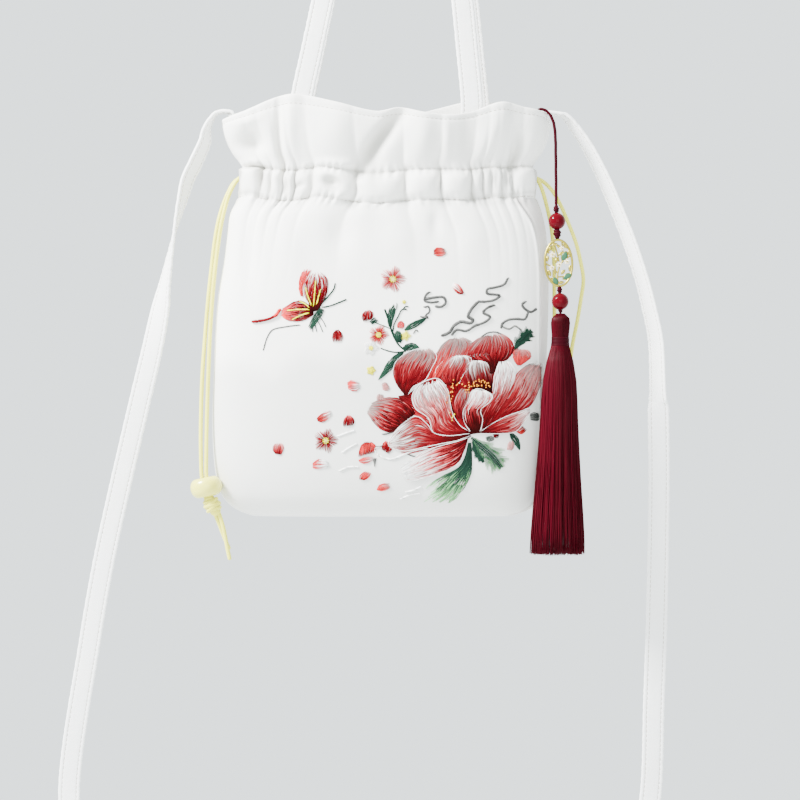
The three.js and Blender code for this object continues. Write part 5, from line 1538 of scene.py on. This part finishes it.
def make_tassel_head(silk, colours, random):
    """Threads over the head of the tassel and the wrap at its neck."""
    count, steps = HEAD_THREADS, HEAD_ROWS
    angle = np.linspace(0, 2 * math.pi, count, endpoint=False)
    share = np.linspace(0.0, 1, steps)[None]
    drop = np.broadcast_to(0.4 + share * (TASSEL_HEAD_HEIGHT + 3), (count, steps))
    turn = angle[:, None] + 0.02 * random.normal(0, 1, (count, steps))
    radius = np.maximum(tassel_radius(drop), 1.5) * 0.985
    paths = tassel_point(turn, radius, drop)
    normals = np.stack((np.cos(turn), np.sin(turn), np.zeros_like(turn)), axis=-1)
    tint = 1 + random.normal(0, 0.12, (count, 1, 1))
    shade = np.array(colours.silk) * np.broadcast_to(tint, (count, steps, 1)) * 0.8
    over = threads("tassel_head_silk", paths, normals, 0.5, 0.3, shade.clip(0.001, 1))
    dress(over, silk)
    rings = []
    drops = TASSEL_HEAD_HEIGHT - np.linspace(4.6, 0.4, NECK_TURNS)
    for number, drop in enumerate(drops):
        turn = np.linspace(0, 2 * math.pi, 33)
        size = np.full_like(turn, tassel_radius(drop) + 0.15)
        rings.append(tube_piece(f"wrap_{number}", tassel_point(turn, size, drop), NECK_WIRE, 8,
                                parts=1))
    wrap = join("tassel_neck_wrap", rings)
    dress(wrap, bpy.data.materials["Red cord"])


class Stitches:
    """Threads gathered for one embroidered piece, all with the same number of points."""

    steps = 4

    def __init__(self, seed):
        self.random = np.random.default_rng(seed)
        self.paths, self.normals, self.widths, self.heights, self.colours = [], [], [], [], []

    def add(self, flat, lift, width, height, colour):
        """Threads along flat paths of the drawing grid, lifted off the cloth."""
        flat = np.asarray(flat, float)
        here, normal = front_points(*grid_place(flat[..., 0], flat[..., 1]))
        count = len(flat)
        lift = np.broadcast_to(np.asarray(lift, float).reshape(-1, 1), (count, self.steps))
        self.paths.append(here + normal * lift[..., None])
        self.normals.append(normal)
        self.widths.append(np.broadcast_to(width, count))
        self.heights.append(np.broadcast_to(height, count))
        self.colours.append(np.broadcast_to(colour, (count, self.steps, 3)))

    def finish(self, name):
        """The gathered threads as one object."""
        return threads(name, *(np.concatenate(part) for part in (
            self.paths, self.normals, self.widths, self.heights, self.colours)))


def dye_along(dyes, share):
    """Colour at shares of the way along a run of dyes."""
    table = np.array([tone(DYES[dye]) for dye in dyes.split()])
    at = np.clip(share, 0, 1) * (len(table) - 1)
    low = np.minimum(at.astype(int), len(table) - 2)
    part = (at - low)[..., None]
    return table[low] * (1 - part) + table[low + 1] * part


def fill_patch(stitches, lift, dyes, left, right, sizes, ragged=0.0, cover=1.7, gap=1.0):
    """Long-and-short stitches between two edges drawn from base to tip."""
    random = stitches.random
    at = np.linspace(0, 1, 41)
    edges = [even_path(edge, len(at)) for edge in (left, right)]
    widest = np.linalg.norm(edges[0] - edges[1], axis=1).max() * GRID_STEP
    length = distance_along((edges[0] + edges[1]) / 2)[-1] * GRID_STEP
    lanes = max(4, int(widest / (sizes.lane_step / MM * gap)))
    pieces = max(1, int(round(length / (sizes.stitch_length / MM))))
    spans = []
    for lane in range(lanes):
        share = (lane + 0.5) / lanes
        offset = random.uniform(-0.5, 0.5) / pieces
        cuts = np.clip(np.linspace(0, 1, pieces + 1) + offset
                       + random.normal(0, 0.12 / pieces, pieces + 1), 0, 1)
        cuts[0], cuts[-1] = 0, 1
        reach = 1 - ragged * random.random()
        for start, stop in zip(cuts, cuts[1:]):
            if stop - start > STITCH_LAP and start < reach:
                spans.append((share, start, min(stop + STITCH_LAP, reach)))
    share, start, stop = np.array(spans).T
    t = start[:, None] + (stop - start)[:, None] * np.linspace(0, 1, stitches.steps)[None]
    t = np.clip(t, 0, 1)
    sway = np.clip(share[:, None] + random.normal(0, 0.25 / lanes, t.shape), 0, 1)
    sides = [read_along(t, at, edge) for edge in edges]
    flat = sides[0] * (1 - sway[..., None]) + sides[1] * sway[..., None]
    spread = np.linalg.norm(sides[0] - sides[1], axis=-1).max(axis=1) * GRID_STEP / lanes
    width = np.clip(spread * cover, *SILK_WIDTHS)
    shift = random.normal(0, DYE_WANDER, (len(t), 1))
    shade = 1 + random.normal(0, SHADE_SPREAD, (len(t), 1, 1))
    colour = dye_along(dyes, t + shift) * shade
    dome = 0.5 * np.sin(np.pi * share) * min(1.0, widest / 8)
    stitches.add(flat, 0.16 + lift * 0.55 + dome + random.uniform(0, 0.08, len(t)),
                 width, np.clip(width * 0.42, *SILK_HEIGHTS), colour.clip(0.001, 1))


def lay_line(stitches, points, dye, width, lift=0.25):
    """Stem stitches along a line of the drawing grid."""
    random = stitches.random
    path = smooth_path(points, 10)
    run = distance_along(path) * GRID_STEP
    starts = np.arange(0, max(run[-1] - STEM_STEP * 0.6, STEM_STEP * 0.5), STEM_STEP)
    at = starts[:, None] + np.linspace(0, STEM_STEP * 1.9, stitches.steps)[None]
    at = np.clip(at, 0, run[-1])
    flat = read_along(at, run, path)
    ahead = read_along(at + 0.2, run, path) - read_along(at - 0.2, run, path)
    side = unit(np.stack((-ahead[..., 1], ahead[..., 0]), axis=-1))
    slant = np.linspace(-0.28, 0.28, stitches.steps)[None, :, None] * width / GRID_STEP
    colour = np.array(tone(DYES[dye])) * (1 + random.normal(0, 0.18, (len(at), 1, 1)))
    thick = width * 0.62 * (1 + random.normal(0, 0.12, len(at))).clip(0.7, 1.3)
    stitches.add(flat + side * slant, lift, thick, width * 0.32,
                 np.broadcast_to(colour.clip(0.001, 1), (len(at), stitches.steps, 3)))


def make_peony(sizes):
    """The large flower: petals from the back to the front, with laid white edges."""
    stitches = Stitches(3)
    for lift, dyes, left, right, outlined in PEONY_PETALS:
        fill_patch(stitches, lift, dyes, left, right, sizes, 0.07)
        if outlined:
            lay_line(stitches, left + right[::-1], "white", 0.42, 0.42 + lift * 0.55)
    return stitches.finish("embroidered_peony")


def make_leaves(sizes):
    """Feathered leaves, fronds and stems."""
    stitches = Stitches(5)
    for dyes, left, right, ragged in LEAF_BLADES:
        fill_patch(stitches, 0.0, dyes, left, right, sizes, ragged, 1.2, 1.3)
    for dyes, rib, reach in LEAF_FRONDS:
        reached = np.linspace(0, 1, stitches.steps)
        line = even_path(rib, 26)
        ahead = unit(np.gradient(line, axis=0))
        side = np.stack((-ahead[:, 1], ahead[:, 0]), axis=1)
        share = np.linspace(0.02, 0.98, 26)
        barb = reach * np.sin(np.pi * share) ** 0.7 * (1 + 0.25 * np.cos(share * 26))
        for way in (-1, 1):
            for spread in (0.55, 0.85):
                tips = line + (side * way * spread + ahead * 0.8) * barb[:, None]
                flat = line[:, None] + (tips - line)[:, None] * reached[None, :, None]
                colour = dye_along(dyes, np.broadcast_to(reached, (len(line), len(reached))))
                stitches.add(flat, 0.2, 0.45, 0.2, colour)
        lay_line(stitches, rib, "forest", 1.0, 0.35)
    for dye, width, points in LINES:
        if dye in ("forest", "leaf"):
            lay_line(stitches, points, dye, width)
    return stitches.finish("embroidered_leaves")


def make_scrolls():
    """Grey scrolls and loose white wisps."""
    stitches = Stitches(7)
    for dye, width, points in LINES:
        if dye in ("smoke", "ash"):
            lay_line(stitches, points, dye, width * 1.5, 0.15)
        if dye == "white":
            lay_line(stitches, points, dye, width)
    return stitches.finish("embroidered_scrolls")


def make_butterfly(sizes):
    """The butterfly, the buds, the fallen petals and the small rayed blossoms."""
    stitches = Stitches(9)
    for lift, dyes, left, right in SMALL_PATCHES:
        fill_patch(stitches, lift, dyes, left, right, sizes, 0.12, 1.1, 1.35)
    for dye, width, points in LINES:
        if dye in ("coral", "crimson", "gold"):
            lay_line(stitches, points, "yellow" if dye == "gold" else dye, width, 1.0)
    for right, down, radius, rays, inner, outer, _ in BLOSSOMS:
        angle = np.linspace(0, 2 * math.pi, rays, endpoint=False)
        angle += stitches.random.normal(0, 0.03, rays)
        lobes = 0.68 + 0.32 * np.abs(np.cos(2.5 * angle))
        reach = radius * lobes * (0.88 + 0.12 * stitches.random.random(rays))
        share = np.linspace(0.18, 1.0, stitches.steps)[None]
        flat = np.stack((right + reach[:, None] * share * np.cos(angle)[:, None],
                         down + reach[:, None] * share * np.sin(angle)[:, None]), axis=-1)
        colour = dye_along(f"{inner} {outer}", np.broadcast_to(share, (rays, stitches.steps)))
        stitches.add(flat, 0.2 + 0.1 * stitches.random.random(rays), 0.32, 0.18, colour)
    return stitches.finish("embroidered_blossoms")


def make_knots():
    """Small knots of thread: the stamens and the middles of the blossoms."""
    random = np.random.default_rng(13)
    spots, sizes, dyes = [], [], []
    for dye, radius, points in STAMENS:
        run = even_path(points, max(4, int(len(points) * 2.6)))
        for spot in run:
            spots.append(spot + random.normal(0, 1.1, 2))
            sizes.append(radius)
            dyes.append(dye)
    for right, down, radius, _, _, _, middle in BLOSSOMS:
        for ring, count in ((0.0, 1), (0.11, 5), (0.2, 9)):
            for turn in np.linspace(0, 2 * math.pi, count, endpoint=False):
                spots.append((right + radius * ring * math.cos(turn),
                              down + radius * ring * math.sin(turn)))
                sizes.append(min(0.4, radius * 0.04 + 0.1))
                dyes.append(middle)
    flat = np.array(spots)
    here, normal = front_points(*grid_place(flat[:, 0], flat[:, 1]))
    shape = bmesh.new()
    bmesh.ops.create_icosphere(shape, subdivisions=1, radius=1.0)
    ball = np.array([vert.co[:] for vert in shape.verts])
    faces = np.array([[vert.index for vert in face.verts] for face in shape.faces])
    shape.free()
    sizes = np.array(sizes)[:, None, None]
    lifts = np.where(np.array([dye == "gold" for dye in dyes]), 1.3, 0.6)[:, None]
    centres = (here + normal * lifts)[:, None]
    points = (centres + ball[None] * sizes).reshape(-1, 3) * MM
    corners = (np.arange(len(flat)) * len(ball))[:, None, None] + faces[None]
    mesh = bpy.data.meshes.new("embroidered_knots")
    mesh.from_pydata(points.tolist(), [], corners.reshape(-1, 3).tolist())
    piece = add_object("embroidered_knots", mesh)
    shade = np.array([tone(DYES[dye]) for dye in dyes])
    paint(piece, "dye", np.repeat(shade, len(ball), axis=0))
    return piece


def add_light(name, place, target, power, size):
    """A soft square lamp that looks at a point."""
    lamp = bpy.data.lights.new(name, "AREA")
    lamp.energy = power
    lamp.shape = "RECTANGLE"
    lamp.size = lamp.size_y = size
    holder = add_object(name, lamp)
    holder.location = place
    holder.rotation_euler = (Vector(target) - Vector(place)).to_track_quat("-Z", "Y").to_euler()


class PurseStep:
    """Shared frame of the operators."""

    bl_options = {"REGISTER", "UNDO"}

    def execute(self, context):
        self.build(context.scene.purse_sizes, context.scene.purse_colours)
        return {"FINISHED"}


class PURSE_OT_camera(PurseStep, bpy.types.Operator):
    """Place the camera straight in front of the purse"""
    bl_idname = "purse.camera"
    bl_label = "Camera"

    def build(self, sizes, colours):
        lens = bpy.data.cameras.new("front_camera")
        lens.lens = CAMERA_LENS
        lens.sensor_width = CAMERA_SENSOR
        camera = add_object("front_camera", lens)
        camera.location = CAMERA_PLACE
        camera.rotation_euler = (math.pi / 2, 0, 0)
        bpy.context.scene.camera = camera


class PURSE_OT_cords(PurseStep, bpy.types.Operator):
    """Build the drawcords with their beads and knots, and the tassel's cord"""
    bl_idname = "purse.cords"
    bl_label = "Cords"

    def build(self, sizes, colours):
        strands = make_drawcords(sizes, colours)
        ends = make_cord_ends(colours)
        for name, (cord, route) in strands.items():
            side = "left" if "left" in name else "right"
            route_length(route)
            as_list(ends[side])
        hanger = make_tassel_cord(sizes, colours)
        route_length(TASSEL_CORD_ROUTE)


class PURSE_OT_pouch(PurseStep, bpy.types.Operator):
    """Build the gathered bag"""
    bl_idname = "purse.pouch"
    bl_label = "Pouch"

    def build(self, sizes, colours):
        make_pouch(colours)


class PURSE_OT_bands(PurseStep, bpy.types.Operator):
    """Build the two handles and the shoulder strap"""
    bl_idname = "purse.bands"
    bl_label = "Handles and strap"

    def build(self, sizes, colours):
        look = grained_look("Band cloth", colours.band, 0.68, 420.0, 0.25, Sheen_Weight=0.1)
        for node, route, steps in BANDS:
            make_band(node, route, steps, look)


class PURSE_OT_stitching(PurseStep, bpy.types.Operator):
    """Sew the bands, the rim and the casing"""
    bl_idname = "purse.stitching"
    bl_label = "Stitching"

    def build(self, sizes, colours):
        make_stitching(sizes)


class PURSE_OT_pendant(PurseStep, bpy.types.Operator):
    """Build the threads, glass beads and charm of the pendant"""
    bl_idname = "purse.pendant"
    bl_label = "Pendant"

    def build(self, sizes, colours):
        make_pendant_threads()
        make_glass_beads(colours)
        make_charm(colours)


class PURSE_OT_tassel(PurseStep, bpy.types.Operator):
    """Build the silk tassel"""
    bl_idname = "purse.tassel"
    bl_label = "Tassel"

    def build(self, sizes, colours):
        make_tassel(sizes, colours)


class PURSE_OT_embroidery(PurseStep, bpy.types.Operator):
    """Sew the flower, leaves, scrolls, butterfly and blossoms"""
    bl_idname = "purse.embroidery"
    bl_label = "Embroidery"

    def build(self, sizes, colours):
        silk = dyed_look("Embroidery silk", "dye", 0.5, Specular_IOR_Level=0.04)
        for piece in (make_peony(sizes), make_leaves(sizes), make_scrolls(),
                      make_butterfly(sizes), make_knots()):
            dress(piece, silk)


class PURSE_OT_stage(PurseStep, bpy.types.Operator):
    """Set the floor, the lamps and the pale surroundings"""
    bl_idname = "purse.stage"
    bl_label = "Stage"

    def build(self, sizes, colours):
        floor = finish_mesh("floor", lambda shape: bmesh.ops.create_circle(
            shape, cap_ends=True, segments=96, radius=FLOOR_RADIUS))
        floor.location = (0, 0, FLOOR_HEIGHT)
        floor.data.materials.append(plain_look("Pale floor", (0.70, 0.72, 0.72), 0.9))
        world = bpy.data.worlds.new("Pale room")
        bpy.context.scene.world = world
        world.use_nodes = True
        ground = world.node_tree.nodes["Background"]
        ground.inputs["Color"].default_value = (*ROOM_COLOUR, 1)
        ground.inputs["Strength"].default_value = ROOM_LIGHT
        for name, place, power, size in LAMPS:
            add_light(name, place, LAMP_TARGET, power, size)


STEPS = (
    PURSE_OT_camera, PURSE_OT_cords, PURSE_OT_pouch, PURSE_OT_bands, PURSE_OT_stitching,
    PURSE_OT_pendant, PURSE_OT_tassel, PURSE_OT_embroidery, PURSE_OT_stage,
)


class PURSE_PT_panel(bpy.types.Panel):
    """The purse's steps, sizes and colours"""
    bl_idname = "PURSE_PT_panel"
    bl_label = "Embroidered purse"
    bl_space_type = "VIEW_3D"
    bl_region_type = "UI"
    bl_category = "Purse"

    def draw(self, context):
        for step in STEPS:
            self.layout.operator(step.bl_idname)
        for group in (context.scene.purse_sizes, context.scene.purse_colours):
            for name in group.bl_rna.properties.keys():
                if name not in ("rna_type", "name"):
                    self.layout.prop(group, name)


CLASSES = (PurseSizes, PurseColours, *STEPS, PURSE_PT_panel)


def register():
    for kind in CLASSES:
        bpy.utils.register_class(kind)
    bpy.types.Scene.purse_sizes = PointerProperty(type=PurseSizes)
    bpy.types.Scene.purse_colours = PointerProperty(type=PurseColours)


def unregister():
    del bpy.types.Scene.purse_colours
    del bpy.types.Scene.purse_sizes
    for kind in reversed(CLASSES):
        bpy.utils.unregister_class(kind)


def main():
    register()
    bpy.ops.purse.camera()
    bpy.ops.purse.cords()
    bpy.ops.purse.pouch()
    bpy.ops.purse.bands()
    bpy.ops.purse.stitching()
    bpy.ops.purse.pendant()
    bpy.ops.purse.tassel()
    bpy.ops.purse.embroidery()
    bpy.ops.purse.stage()


if __name__ == "__main__":
    main()
